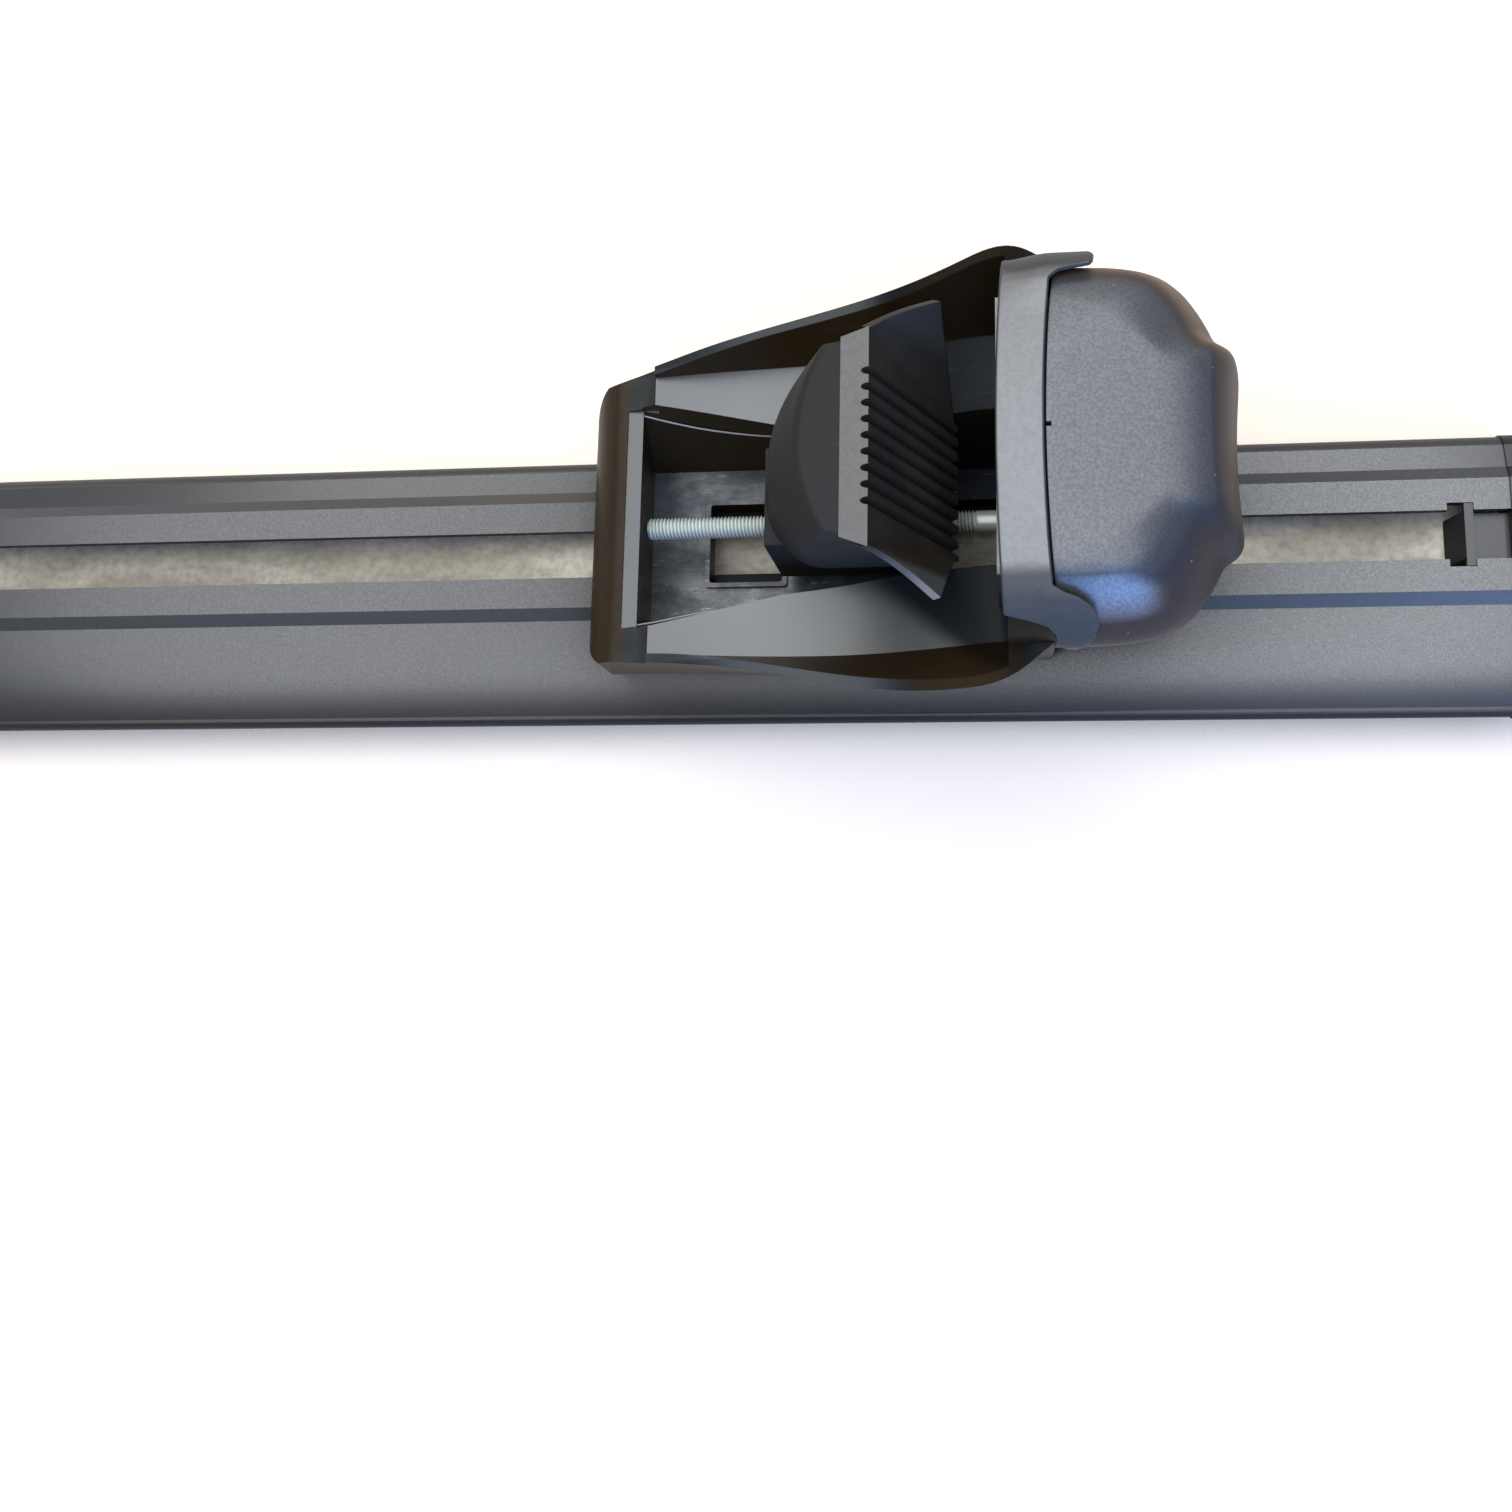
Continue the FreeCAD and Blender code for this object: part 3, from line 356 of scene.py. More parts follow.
def coatFinish():
    # satin powder coat
    c = coatLook
    f = Finish("satinPowderCoat")
    grain = f.noise(c["grain"], 2.0)
    sparkle = f.cells(c["sparkle"]).below(c["sparkleShare"])
    coat = f.mixed(f.noise(c["cloud"], 4.0), grey(c["coat"] * 0.88), grey(c["coat"] * 1.12, -0.02))
    coat = f.mixed(sparkle * grain * 0.3, coat, grey(c["sparkleColour"]))
    # painted shade on the rear nose, which also gets less skin below
    nose = (0.0 - f.y).spread(*c["nose"])
    coat = f.mixed(nose * c["noseShare"], coat, c["noseShadeColour"])
    # painted shade on the slot's walls
    slotShade = f.y.size().below(c["slotHalf"]) * f.z.below(c["slotHigh"]) * f.z.above(c["slotLow"])
    coat = f.mixed(slotShade, coat, grey(c["slotShadeColour"]))
    onFloor = f.z.below(c["floorHigh"]) * f.z.above(c["floorLow"]) * f.y.size().below(c["floorHalf"])
    smear = f.noise(26.0, 5.0, 0.6, f.stretched(1.0, 3.0, 1.0))
    fine = f.noise(420.0, 4.0, 0.6)
    metal = f.mixed(smear.spread(0.3, 0.72), c["millDull"], c["millBright"])
    metal = f.mixed(fine.spread(0.35, 0.75) * 0.5, metal, c["millStain"])
    # painted shade and reflection of the feet, from how open the surface is
    clear = f.openness(c["feetReach"]).spread(*c["feetOpen"])
    colour = f.mixed(onFloor, coat, metal)
    colour = f.mixed((1.0 - clear) * (1.0 - onFloor) * c["feetShade"], colour, grey(0.0))
    # painted sheen on what faces up and on the rear flanks
    skin = f.paintedTopSheen(c["skinUp"]).joined("MAXIMUM", f.paintedRearSheen() * f.y.above(c["skinRear"]))
    skin = skin * grain.spread(*c["grainSkin"]) * (1.0 - nose * c["noseSkin"])
    skin = skin * clear.spread(0.0, 1.0, 0.02, 1.0) * (1.0 - onFloor)
    return f.surface(colour, onFloor * c["floorRough"] + c["rough"], grain, 0.0001, 0.35, 0.0004,
                     Metallic=onFloor * c["floorMetal"], Specular_IOR_Level=0.12, Coat_Weight=skin,
                     Coat_IOR=c["skin"], Coat_Roughness=c["skinRough"])


housingLook = {
    "base": 0.021, "rough": 0.42, "warm": 0.55, "skin": 2.3,
    # painted light: cool on top, from the pocket's inner end outward
    "topFacing": (0.85, 0.95), "topX": 0.3485, "paintedTopLight": (0.75, 1.2, 1.45),
    # painted shade: beside the tower it is painted darker and its skin taken off, and the painted sheen is
    # thinner along both rims
    "towerShadeX": (0.421, 0.431), "towerShadeY": -0.022, "towerShadeMiddle": 0.03, "towerShadeLean": 1.1, "towerShadeDepth": 0.6,
    "farRim": (0.039, 0.0405, 1.0, 0.25), "nearRim": (0.041, 0.0425, 1.0, 0.3),
    # the pocket's floor is scraped, most of all around its window
    "pocketZ": 0.0365, "pocketHalf": 0.024, "pocketColour": (0.034, 0.043, 0.058, 1.0),
    "scrape": (0.6, 0.64, 0.7, 1.0),
}


def housingWearAndShade(f, colour, skin):
    # adds the painted light and shade, and the scraped wear, that only the foot's housing shows
    h = housingLook
    # painted cool light on the tops
    up = f.facing(2).spread(*h["topFacing"]) * f.x.size().above(h["topX"])
    colour = f.mixed(up, colour, tuple(h["base"] * tint for tint in h["paintedTopLight"]) + (1.0,))
    # painted shade beside the tower, and less painted sheen there and along both rims
    lean = (f.y.joined("MINIMUM", h["towerShadeY"]) + h["towerShadeMiddle"]) * h["towerShadeLean"]
    towerShade = (f.x.size() + lean).spread(*h["towerShadeX"])
    colour = f.mixed(towerShade * h["towerShadeDepth"], colour, grey(0.0))
    skin = skin * (1.0 - towerShade * 0.97) * f.y.spread(*h["farRim"]) * (0.0 - f.y).spread(*h["nearRim"])
    pocket = f.z.below(h["pocketZ"]) * f.y.size().below(h["pocketHalf"]) * f.facing(2).above(0.9)
    streak = f.noise(60.0, 6.0, 0.8, f.stretched(1.0, 1.8, 1.0))
    fine = f.noise(520.0, 3.0, 0.7, f.stretched(0.22, 2.0, 1.0))
    colour = f.mixed(pocket, colour, h["pocketColour"])
    scrapes = pocket * streak.spread(0.48, 0.7) * fine.spread(0.54, 0.68)
    colour = f.mixed(scrapes, colour, h["scrape"])
    return colour, skin * (1.0 - pocket * streak.spread(0.35, 0.65, 0.75, 0.2))


def plasticFinish(name, base, rough, edge=0.0006, warm=0.0, skin=1.8, wearAndShade=None):
    # moulded nylon with flow streaks and rubbed marks
    f = Finish(name)
    cloud = f.noise(30.0, 4.0)
    scratch = f.noise(160.0, 3.0, 0.7, f.stretched(0.25, 2.2, 1.0)).spread(0.62, 0.72)
    colour = f.mixed(cloud, grey(base * 0.8, warm), grey(base * 1.25, warm))
    # painted sheen: the skin only on what faces up
    share = f.paintedTopSheen((0.88, 0.975), 0.0)
    if wearAndShade:
        colour, share = wearAndShade(f, colour, share)
    colour = f.mixed(scratch * 0.12, colour, grey(base * 3.2 + 0.03))
    roughness = cloud.spread(0.2, 0.8, rough - 0.06, rough + 0.08) + scratch * 0.08
    return f.surface(colour, roughness, f.noise(1400.0, 2.0), 0.0001, 0.2, edge, Specular_IOR_Level=0.12,
                     Coat_Weight=share, Coat_IOR=skin, Coat_Roughness=0.34)


coverLook = {
    "rough": 0.5, "grain": 1500.0, "grainSkin": (0.36, 0.64, 0.68, 1.0), "skin": 2.2, "skinRough": 0.38,
    "topDark": (0.031, 0.037, 0.048, 1.0), "topPale": (0.04, 0.047, 0.06, 1.0),
    "flank": (0.055, 0.042, 0.038, 1.0), "frontFlankWarmLight": (0.15, 0.095, 0.056, 1.0),
    "lint": 150.0, "lintShare": 0.035, "lintColour": 0.5,
    # painted sheen: the rear flank is glossy between these two places along the bar
    "rearSheenFrom": (0.462, 0.474, 0.6, 1.0), "rearSheenTo": (0.479, 0.492, 1.0, 0.0),
}


def coverFinish():
    # slate grey on top, with painted warm reflection: browner where the flanks turn away from the bar's front
    c = coverLook
    f = Finish("texturedCover")
    cloud = f.noise(20.0, 4.0)
    grain = f.noise(c["grain"], 3.0)
    top = f.mixed(cloud, c["topDark"], c["topPale"])
    # painted reflection: turned-away flanks are painted brown, and brighter brown where they face the bar's
    # front
    turned = f.facing(2).spread(0.55, 0.93, 1.0, 0.0)
    colour = f.mixed(turned, top, c["flank"])
    colour = f.mixed(turned * f.facing(1).spread(-0.2, 0.5), colour, c["frontFlankWarmLight"])
    lint = f.cells(c["lint"]).below(c["lintShare"])
    colour = f.mixed(lint * 0.5, colour, grey(c["lintColour"]))
    roughness = cloud.spread(0.25, 0.8, c["rough"] - 0.03, c["rough"] + 0.04)
    # painted sheen on the top and on a band of the rear flank
    rearSheenBand = f.paintedRearSheen() * f.x.size().spread(*c["rearSheenFrom"]) * f.x.size().spread(*c["rearSheenTo"])
    share = f.paintedTopSheen().joined("MAXIMUM", rearSheenBand) * grain.spread(*c["grainSkin"])
    return f.surface(colour, roughness, grain, 0.00015, 0.3, 0.0005, Specular_IOR_Level=0.12,
                     Coat_Weight=share, Coat_IOR=c["skin"], Coat_Roughness=c["skinRough"])


padLook = {
    "base": 0.03, "rough": 0.5, "skin": 1.94,
    # painted light: the thin wings are painted lighter than the ramp, as if catching more light
    "nearWing": (0.0255, 0.03), "nearWingLight": 0.085, "farWing": (0.0262, 0.031), "farWingLight": 0.045,
}


def paintedWingLight(f, colour):
    # painted light on the wings, cool on the near one and warm on the far one
    colour = f.mixed((0.0 - f.y).spread(*padLook["nearWing"]), colour, grey(padLook["nearWingLight"], -0.03))
    return f.mixed(f.y.spread(*padLook["farWing"]), colour, grey(padLook["farWingLight"], 0.05))


def rubberFinish(name, base, rough, tint=-0.06, dust=0.2, edge=0.0005, skin=1.5, rearSkin=1.0, wings=None):
    # soft rubber with dust in it; its painted sheen on what faces up fades to rearSkin at the rear border
    f = Finish(name)
    cloud = f.noise(46.0, 5.0, 0.6)
    grain = f.noise(900.0, 3.0)
    colour = f.mixed(cloud.spread(0.3, 0.75), grey(base * 0.8, tint), grey(base * 1.2, tint))
    speck = f.cells(260.0).below(0.06) * cloud
    colour = f.mixed(speck * dust, colour, grey(base + 0.35))
    # painted sheen on what faces up
    share = f.paintedTopSheen((0.84, 0.96)) * (0.0 - f.y).spread(0.0302, 0.0345, 1.0, rearSkin)
    share = share * grain.spread(0.3, 0.7, 0.84, 1.0)
    if wings:
        colour = wings(f, colour)
    roughness = cloud.spread(0.2, 0.8, rough - 0.05, rough + 0.08)
    return f.surface(colour, roughness, grain, 0.00015, 0.25, edge, Specular_IOR_Level=0.12,
                     Coat_Weight=share, Coat_IOR=skin, Coat_Roughness=0.36)


zincLook = {
    "dull": (0.8, 0.86, 0.79, 1.0), "bright": (0.95, 0.98, 0.92, 1.0), "metal": 0.3,
    # painted shade: dark between the thread's crests
    "axisZ": 0.051, "root": 0.00245, "crest": 0.0028, "rootShadeColour": (0.4, 0.43, 0.38, 1.0),
}


def zincFinish(name, threaded=False):
    z = zincLook
    f = Finish(name)
    cloud = f.noise(90.0, 4.0)
    colour = f.mixed(cloud, z["dull"], z["bright"])
    if threaded:
        # painted shade in the thread's roots
        across = f.z - z["axisZ"]
        root = (f.y * f.y + across * across).spread(z["root"] ** 2, z["crest"] ** 2, 1.0, 0.0)
        colour = f.mixed(root, colour, z["rootShadeColour"])
    return f.surface(colour, cloud.spread(0.2, 0.8, 0.26, 0.42), f.noise(600.0), 0.00003, 0.1, 0.0,
                     Metallic=z["metal"])


smallLooks = {
    "strip": {"base": 0.075, "rough": 0.5, "skin": 2.42, "rearSkin": 0.12},
    "slotRubber": {"base": 0.03, "rough": 0.6, "tint": 0.0, "dust": 0.1, "edge": 0.0003, "skin": 1.3},
    "cap": {"base": 0.03, "rough": 0.42},
    "jaw": {"base": 0.027, "rough": 0.62, "warm": 0.08, "skin": 1.15},
}
finishes = {
    "bar_coating": coatFinish(),
    "strip_rubber": rubberFinish("slotRubber", **smallLooks["slotRubber"]),
    "cap_plastic": plasticFinish("capNylon", **smallLooks["cap"]),
    "base_plastic": plasticFinish("housingNylon", housingLook["base"], housingLook["rough"],
                                  warm=housingLook["warm"], skin=housingLook["skin"], wearAndShade=housingWearAndShade),
    "pad_rubber": rubberFinish("stripElastomer", **smallLooks["strip"]),
    "cover_plastic": coverFinish(),
    "zinc_steel": zincFinish("clearZinc"),
    "slot_steel": zincFinish("clearZincScrews"),
    "jaw_plastic": plasticFinish("jawNylon", **smallLooks["jaw"]),
    "jaw_rubber": rubberFinish("jawRubber", padLook["base"], padLook["rough"], 0.22, skin=padLook["skin"],
                               wings=paintedWingLight),
}
print("crossbar: finishes made", len(finishes))

slotOf = {row["node"]: row["material_slot"] for row in frame["record"]["subparts"]}
for nodeName, nodeObject in frame["nodes"].items():
    nodeObject.data.materials.clear()
    nodeObject.data.materials.append(finishes[slotOf[nodeName]])
    nodeObject.data.shade_smooth()
    nodeObject.data.set_sharp_from_angle(angle=math.radians(30.0))


# Outer cover

coverSize = {
    "seamX": 58.2, "seamBow": 1.5, "bowHalf": 34.0, "seamFade": 9.0, "wall": 2.4, "rimRound": 0.35,
    "centreZ": 46.0, "rootX": 50.0,
    # lower edge, laid over the bar's rounded sides
    "edgeY": [-36.0, -30.0, -24.0, -20.5, -18.0, 18.0, 20.5, 24.0, 28.0, 32.0],
    "edgeZ": [-3.9, -2.6, -1.5, -0.3, 0.7, 0.7, -0.3, -1.6, -2.5, -4.2],
    # half widths on both sides, and the outer end, at each height
    "levelZ": [-8.0, 5.0, 20.0, 40.0, 57.0, 70.0, 75.0, 78.0, 82.0, 84.5, 87.0, 89.5, 91.0, 93.0, 97.0],
    "levelNear": [27.0, 29.6, 33.2, 37.4, 41.8, 45.6, 46.2, 45.5, 43.6, 41.5, 39.0, 36.4, 34.8, 31.5, 22.0],
    "levelFar": [27.0, 29.6, 33.2, 37.4, 41.4, 44.9, 45.4, 44.7, 43.0, 41.9, 40.3, 37.9, 36.0, 32.5, 22.0],
    "levelEnd": [97.0, 99.0, 101.0, 103.2, 104.6, 103.0, 101.7, 100.5,
                 98.4, 96.8, 94.6, 91.0, 88.4, 83.0, 74.0],
    # plan of the shell, as shares of its length and half width
    "planLong": [0.0, 0.2, 0.4, 0.52, 0.63, 0.72, 0.79, 0.85, 0.9, 0.94, 0.972, 0.992, 1.0],
    "planWide": [1.0, 1.0, 0.998, 0.987, 0.962, 0.915, 0.846, 0.752, 0.645, 0.525, 0.39, 0.22, 0.0],
    # the tongue between the two shoulders: its outer end at each height, and its half width along the bar
    "ridgeZ": [-8.0, 10.0, 36.0, 57.3, 68.0, 76.0, 82.0, 86.0, 89.0, 91.0, 93.0, 97.0],
    "ridgeX": [97.0, 100.6, 104.8, 105.9, 104.8, 103.1, 101.4, 99.8, 98.0, 96.2, 93.6, 86.0],
    "ridgeAlong": [50.0, 70.0, 76.0, 79.0, 82.0, 85.0, 90.0, 97.0, 107.0],
    "ridgeHalf": [36.8, 36.6, 35.8, 33.6, 29.6, 26.4, 24.6, 23.8, 23.0], "ridgeWidest": 46.0,
    # upright hollow in the outer end
    "scoopHalf": 22.4, "scoopHigh": 1.5, "scoopLow": 5.0, "scoopTop": 52.0,
    # falling top plane, its tail and the crown across it
    "topZ": 94.9, "topFall": 0.106, "crownZ": 96.0, "crownDrop": 5.0, "crownHalf": 36.0,
    "tailX": [50.0, 80.0, 84.0, 87.0, 90.0, 93.0, 96.0, 99.0, 104.0],
    "tailDrop": [0.0, 0.0, 0.06, 0.22, 0.55, 1.15, 2.2, 4.2, 9.0],
    # how softly these forms run into each other, and how finely the shell is divided
    "turn": 4.5, "shoulder": 4.0, "crownTurn": 1.0, "scoopTurn": 1.5, "hullScale": 42.0,
    "mostReach": 200.0, "grid": 44, "rows": 80,
}


def coverField(x, y, z):
    # below zero inside the cover's outline
    c = coverSize
    nearHalf = smoothTable(z, c["levelZ"], c["levelNear"])
    half = np.where(y < 0.0, nearHalf, smoothTable(z, c["levelZ"], c["levelFar"]))
    end = smoothTable(z, c["levelZ"], c["levelEnd"])
    along = (x - c["rootX"]) / (end - c["rootX"])
    across = np.abs(y) / half
    planTurn = np.arctan2(c["planWide"], c["planLong"])[::-1]
    planReach = np.hypot(c["planWide"], c["planLong"])[::-1]
    reach = smoothTable(np.arctan2(across, np.maximum(along, 0.0)), planTurn, planReach)
    hull = c["hullScale"] * (np.hypot(along, across) / reach - 1.0)
    ridgeHalf = smoothTable(x, c["ridgeAlong"], c["ridgeHalf"]) * np.minimum(half / c["ridgeWidest"], 1.0)
    ridgeEnd = smoothTable(z, c["ridgeZ"], c["ridgeX"])
    ridge = softMax(np.abs(y) - ridgeHalf, x - ridgeEnd, c["turn"])
    body = softMin(hull, ridge, c["turn"])
    plane = c["topZ"] - c["topFall"] * (x - c["seamX"]) - smoothTable(x, c["tailX"], c["tailDrop"])
    crown = c["crownZ"] - c["crownDrop"] * (y / c["crownHalf"]) ** 2
    body = softMax(body, z - softMin(plane, crown, c["crownTurn"]), c["shoulder"])
    depth = c["scoopLow"] + (c["scoopHigh"] - c["scoopLow"]) * softStep(z, 0.0, c["scoopTop"])
    radius = (c["scoopHalf"] ** 2 + depth ** 2) / (2.0 * depth)
    return softMax(body, radius - np.hypot(x - ridgeEnd + depth - radius, y), c["scoopTurn"])


def halved(isOutside, low, high):
    # closes in on where a line from inside leaves the outline
    for step in range(40):
        mid = (low + high) / 2.0
        outside = isOutside(mid)
        high = np.where(outside, mid, high)
        low = np.where(outside, low, mid)
    return (low + high) / 2.0


def castOut(directions):
    # where rays from the middle of the seam meet the cover's outline
    unit = directions / np.linalg.norm(directions, axis=-1, keepdims=True)
    centre = np.array([coverSize["seamX"], 0.0, coverSize["centreZ"]])
    reach = np.full(directions.shape[:-1], coverSize["mostReach"])
    reach = halved(lambda far: coverField(*np.moveaxis(centre + unit * far[..., None], -1, 0)) > 0.0,
                   np.ones_like(reach), reach)
    return centre + unit * reach[..., None]


def coverSolid():
    c = coverSize
    count = c["grid"]
    along = np.linspace(0.0, 1.0, count)
    wide = np.linspace(-1.0, 1.0, 2 * count)
    # directions in plan, round three sides of a box twice as wide as long
    plan = [(x, -1.0) for x in along] + [(1.0, y) for y in wide[1:-1]] + [(x, 1.0) for x in along[::-1]]
    plan = np.array(plan)
    level = np.full(len(plan), c["edgeZ"][2])
    scale = halved(lambda far: coverField(c["seamX"] + plan[:, 0] * far, plan[:, 1] * far, level) > 0.0,
                   np.zeros(len(plan)), np.full(len(plan), c["mostReach"]))
    edge = np.interp(plan[:, 1] * scale, c["edgeY"], c["edgeZ"])
    foot = (edge - c["centreZ"]) / scale
    rise = foot[None, :] + (1.0 - foot[None, :]) * np.linspace(0.0, 1.0, c["rows"])[:, None]
    walls = np.stack([np.broadcast_to(plan[:, axis], rise.shape) for axis in (0, 1)] + [rise], -1)
    wallPoints = castOut(walls)
    wallPoints[0, :, 2] = edge
    top = np.stack(list(np.meshgrid(along, wide, indexing="ij")) + [np.ones((count, 2 * count))], -1)
    points = np.concatenate([wallPoints.reshape(-1, 3), castOut(top).reshape(-1, 3)])
    # the seam bows towards the outside at the flanks
    bow = c["seamBow"] * np.clip(np.abs(points[:, 1]) / c["bowHalf"], 0.0, 1.1) ** 2
    points[:, 0] += bow * (1.0 - softStep(points[:, 0], c["seamX"], c["seamX"] + c["seamFade"]))
    lid = gridFaces(count, 2 * count, offset=c["rows"] * len(plan))
    del lid[count - 1]  # small square notch in the middle of the seam
    return points, gridFaces(c["rows"], len(plan)) + lid


coverMesh = coverSolid()
for side in sides:
    cover = makePiece("coverShell_" + side, coverMesh, side, side + "_cover",
                      finishes["cover_plastic"], ["outer_cover_" + side], weld=2e-5)
    wall = cover.modifiers.new("wall", "SOLIDIFY")
    wall.thickness = coverSize["wall"] * mm
    wall.offset = -1.0
    wall.use_even_offset = True
    cut = cover.modifiers.new("edges", "BEVEL")
    cut.width = coverSize["rimRound"] * mm
    cut.segments = 2
    cut.limit_method = "ANGLE"
    cut.angle_limit = math.radians(60.0)
    cut.harden_normals = False
print("crossbar: covers made")


# Fine pale bead along both walls of the housing's pocket, a painted glint along their edges

beadSize = {
    "path": [(-52.6, 30.0, 33.2), (-46.0, 28.6, 31.5), (-35.0, 26.2, 30.3), (-20.0, 24.0, 29.6),
             (0.0, 22.9, 29.0), (30.0, 22.0, 29.0), (49.0, 21.5, 29.0)],
    "radius": 0.28, "tip": 4.0, "tipShare": 0.25, "around": 10, "count": 90, "base": 0.3, "rough": 0.3,
}


def beadSolid():
    b = beadSize
    path = np.array(b["path"])
    x = np.linspace(path[0, 0], path[-1, 0], b["count"])
    line = np.stack([x, smoothTable(x, path[:, 0], path[:, 1]), smoothTable(x, path[:, 0], path[:, 2])], 1)
    fromTip = np.minimum(x - x[0], x[-1] - x)
    radii = b["radius"] * np.minimum(1.0, fromTip / b["tip"] + b["tipShare"])
    turn = np.arange(b["around"]) / b["around"] * math.tau
    solids = []
    for sign in (-1.0, 1.0):
        rings = [ring(x, sign * y, z, radius, turn) for (x, y, z), radius in zip(line, radii)]
        solids.append(ringStack(rings))
    return joined(*solids)


beadMesh = beadSolid()
# pale, as a painted glint
glintBeadFinish = plasticFinish("paintedGlintBead", beadSize["base"], beadSize["rough"], 0.0)
for side in sides:
    makePiece("pocketGlintBead_" + side, beadMesh, side, side + "_foot", glintBeadFinish, None,
              sharp=80.0)
print("crossbar: beads made")


# Grey strip over the tower, with its two wings

stripSize = {
    "startX": 46.8, "startBow": 1.3, "bowHalf": 40.0, "endX": 57.7, "endBow": 1.4, "endHalf": 34.0,
    "thick": 3.5, "wingThick": 0.95, "lift": 1.5, "round": 0.6, "proud": 0.25,
    "steps": [0.0, 0.05, 0.15, 0.3, 0.5, 0.8],  # point spacing at the rounded edges
    # outline across the tower: wing's foot, side arc, corner and crown
    "footZ": 75.35, "undercut": 0.075, "side": (46.3, 79.0), "sideMiddle": (44.6, 84.0),
    "corner": (36.0, 91.0), "crownZ": 96.0,
    # the wings stand off between these heights and places along the bar
    "wingTop": (90.9, 93.4), "proudTop": (87.8, 90.4), "liftAlong": (47.5, 60.0), "thinAlong": (57.2, 59.8),
    # wing and lower edge: place along the bar for each height, near side and far side
    "lowZ": [75.35, 76.8, 80.0, 83.5, 85.6, 86.4, 87.0, 87.4],
    "lowX": [64.2, 62.1, 60.6, 59.8, 58.0, 55.0, 51.0, 48.2],
    "farZ": [75.35, 76.8, 79.0, 81.0, 82.6, 83.4, 84.0, 84.4],
    "farX": [64.2, 62.1, 60.6, 59.5, 57.6, 54.6, 51.0, 48.2],
    "highZ": [75.35, 77.6, 80.0, 82.5, 86.2, 87.8, 89.1, 90.0, 90.5, 91.0],
    "highX": [64.7, 65.9, 67.0, 68.6, 69.5, 69.0, 67.5, 64.9, 61.7, 59.3],
    "farHighZ": [75.35, 77.6, 80.0, 83.5, 86.6, 88.6, 89.4, 89.8, 90.2, 91.0],
    "farHighX": [64.7, 65.9, 67.2, 68.9, 69.7, 69.4, 68.6, 65.0, 61.6, 59.3],
    "legHalf": 33.0, "legBottom": 58.0, "legTop": 89.5, "legThick": 3.0, "legX": 46.9,
}


def crownOutline():
    # half of the outline across the tower: from the wing's foot up to the middle
    s = stripSize
    rise = np.concatenate([s["footZ"] + np.array(s["steps"]), np.linspace(76.5, s["side"][1], 7)[:-1]])
    under = np.stack([s["side"][0] - (s["side"][1] - rise) * s["undercut"], rise], 1)
    side = circleThrough(s["side"], s["sideMiddle"], s["corner"], 46)
    half, high = s["corner"]
    top = circleThrough((half, high), (0.0, s["crownZ"]), (-half, high), 81)[:41]
    return np.concatenate([under, side, top[1:]])


def stripSolid():
    s = stripSize
    outline = crownOutline()
    # from the far wing over the crown to the near wing
    whole = np.concatenate([outline, outline[::-1][1:] * np.array([-1.0, 1.0])])
    tangent = np.gradient(whole, axis=0)
    tangent /= np.linalg.norm(tangent, axis=1, keepdims=True)
    normal = np.stack([tangent[:, 1], -tangent[:, 0]], 1)
    y, z = whole[:, 0], whole[:, 1]
    isFar = y > 0.0
    start = s["startX"] + s["startBow"] * (y / s["bowHalf"]) ** 2
    edge = np.where(isFar, np.interp(z, s["farZ"], s["farX"]), np.interp(z, s["lowZ"], s["lowX"]))
    start = np.where(z < np.where(isFar, s["farZ"][-1], s["lowZ"][-1]), np.maximum(edge, start), start)
    end = s["endX"] + s["endBow"] * (np.minimum(np.abs(y), s["corner"][0]) / s["endHalf"]) ** 2
    wingEnd = np.where(isFar, np.interp(z, s["farHighZ"], s["farHighX"]),
                       np.interp(z, s["highZ"], s["highX"]))
    end = np.where(z < s["highZ"][-1], np.maximum(wingEnd, end), end)
    steps = np.array(s["steps"])
    first = start[:, None] + steps
    last = end[:, None] - steps[::-1]
    middle = first[:, -1:] + (last[:, :1] - first[:, -1:]) * np.linspace(0.0, 1.0, 30)[1:-1]
    x = np.concatenate([first, middle, last], 1)
    # the edges are rounded off, also at the wings' feet
    fromEdge = np.minimum(x - start[:, None], end[:, None] - x)
    fromEdge = np.minimum(fromEdge, (z - z.min())[:, None])
    inward = np.clip(s["round"] - fromEdge, 0.0, s["round"])
    drop = s["round"] - np.sqrt(s["round"] ** 2 - inward ** 2)
    onWing = (1.0 - softStep(z, *s["wingTop"]))[:, None]
    proud = (s["proud"] * (1.0 - softStep(z, *s["proudTop"])) * isFar)[:, None]
    over = np.maximum(s["lift"] * softStep(x, *s["liftAlong"]) * onWing, proud) - drop
    thinner = s["thick"] + s["lift"] - s["wingThick"]
    under = thinner * softStep(x, *s["thinAlong"]) * onWing - s["thick"]
    outY, outZ = normal[:, :1], normal[:, 1:]
    outer, inner = [np.stack([x, y[:, None] + outY * out, z[:, None] + outZ * out], -1)
                    for out in (over, under)]
    leg = block(s["legX"], s["legX"] + s["legThick"], -s["legHalf"], s["legHalf"],
                s["legBottom"], s["legTop"])
    return joined(shell(outer, inner), leg)


stripMesh = stripSolid()
for side in sides:
    makePiece("towerStrip_" + side, stripMesh, side, side + "_foot", finishes["pad_rubber"],
              ["rail_pad_" + side])
print("crossbar: strips made")


# Jaw rubber with its grooves and wings

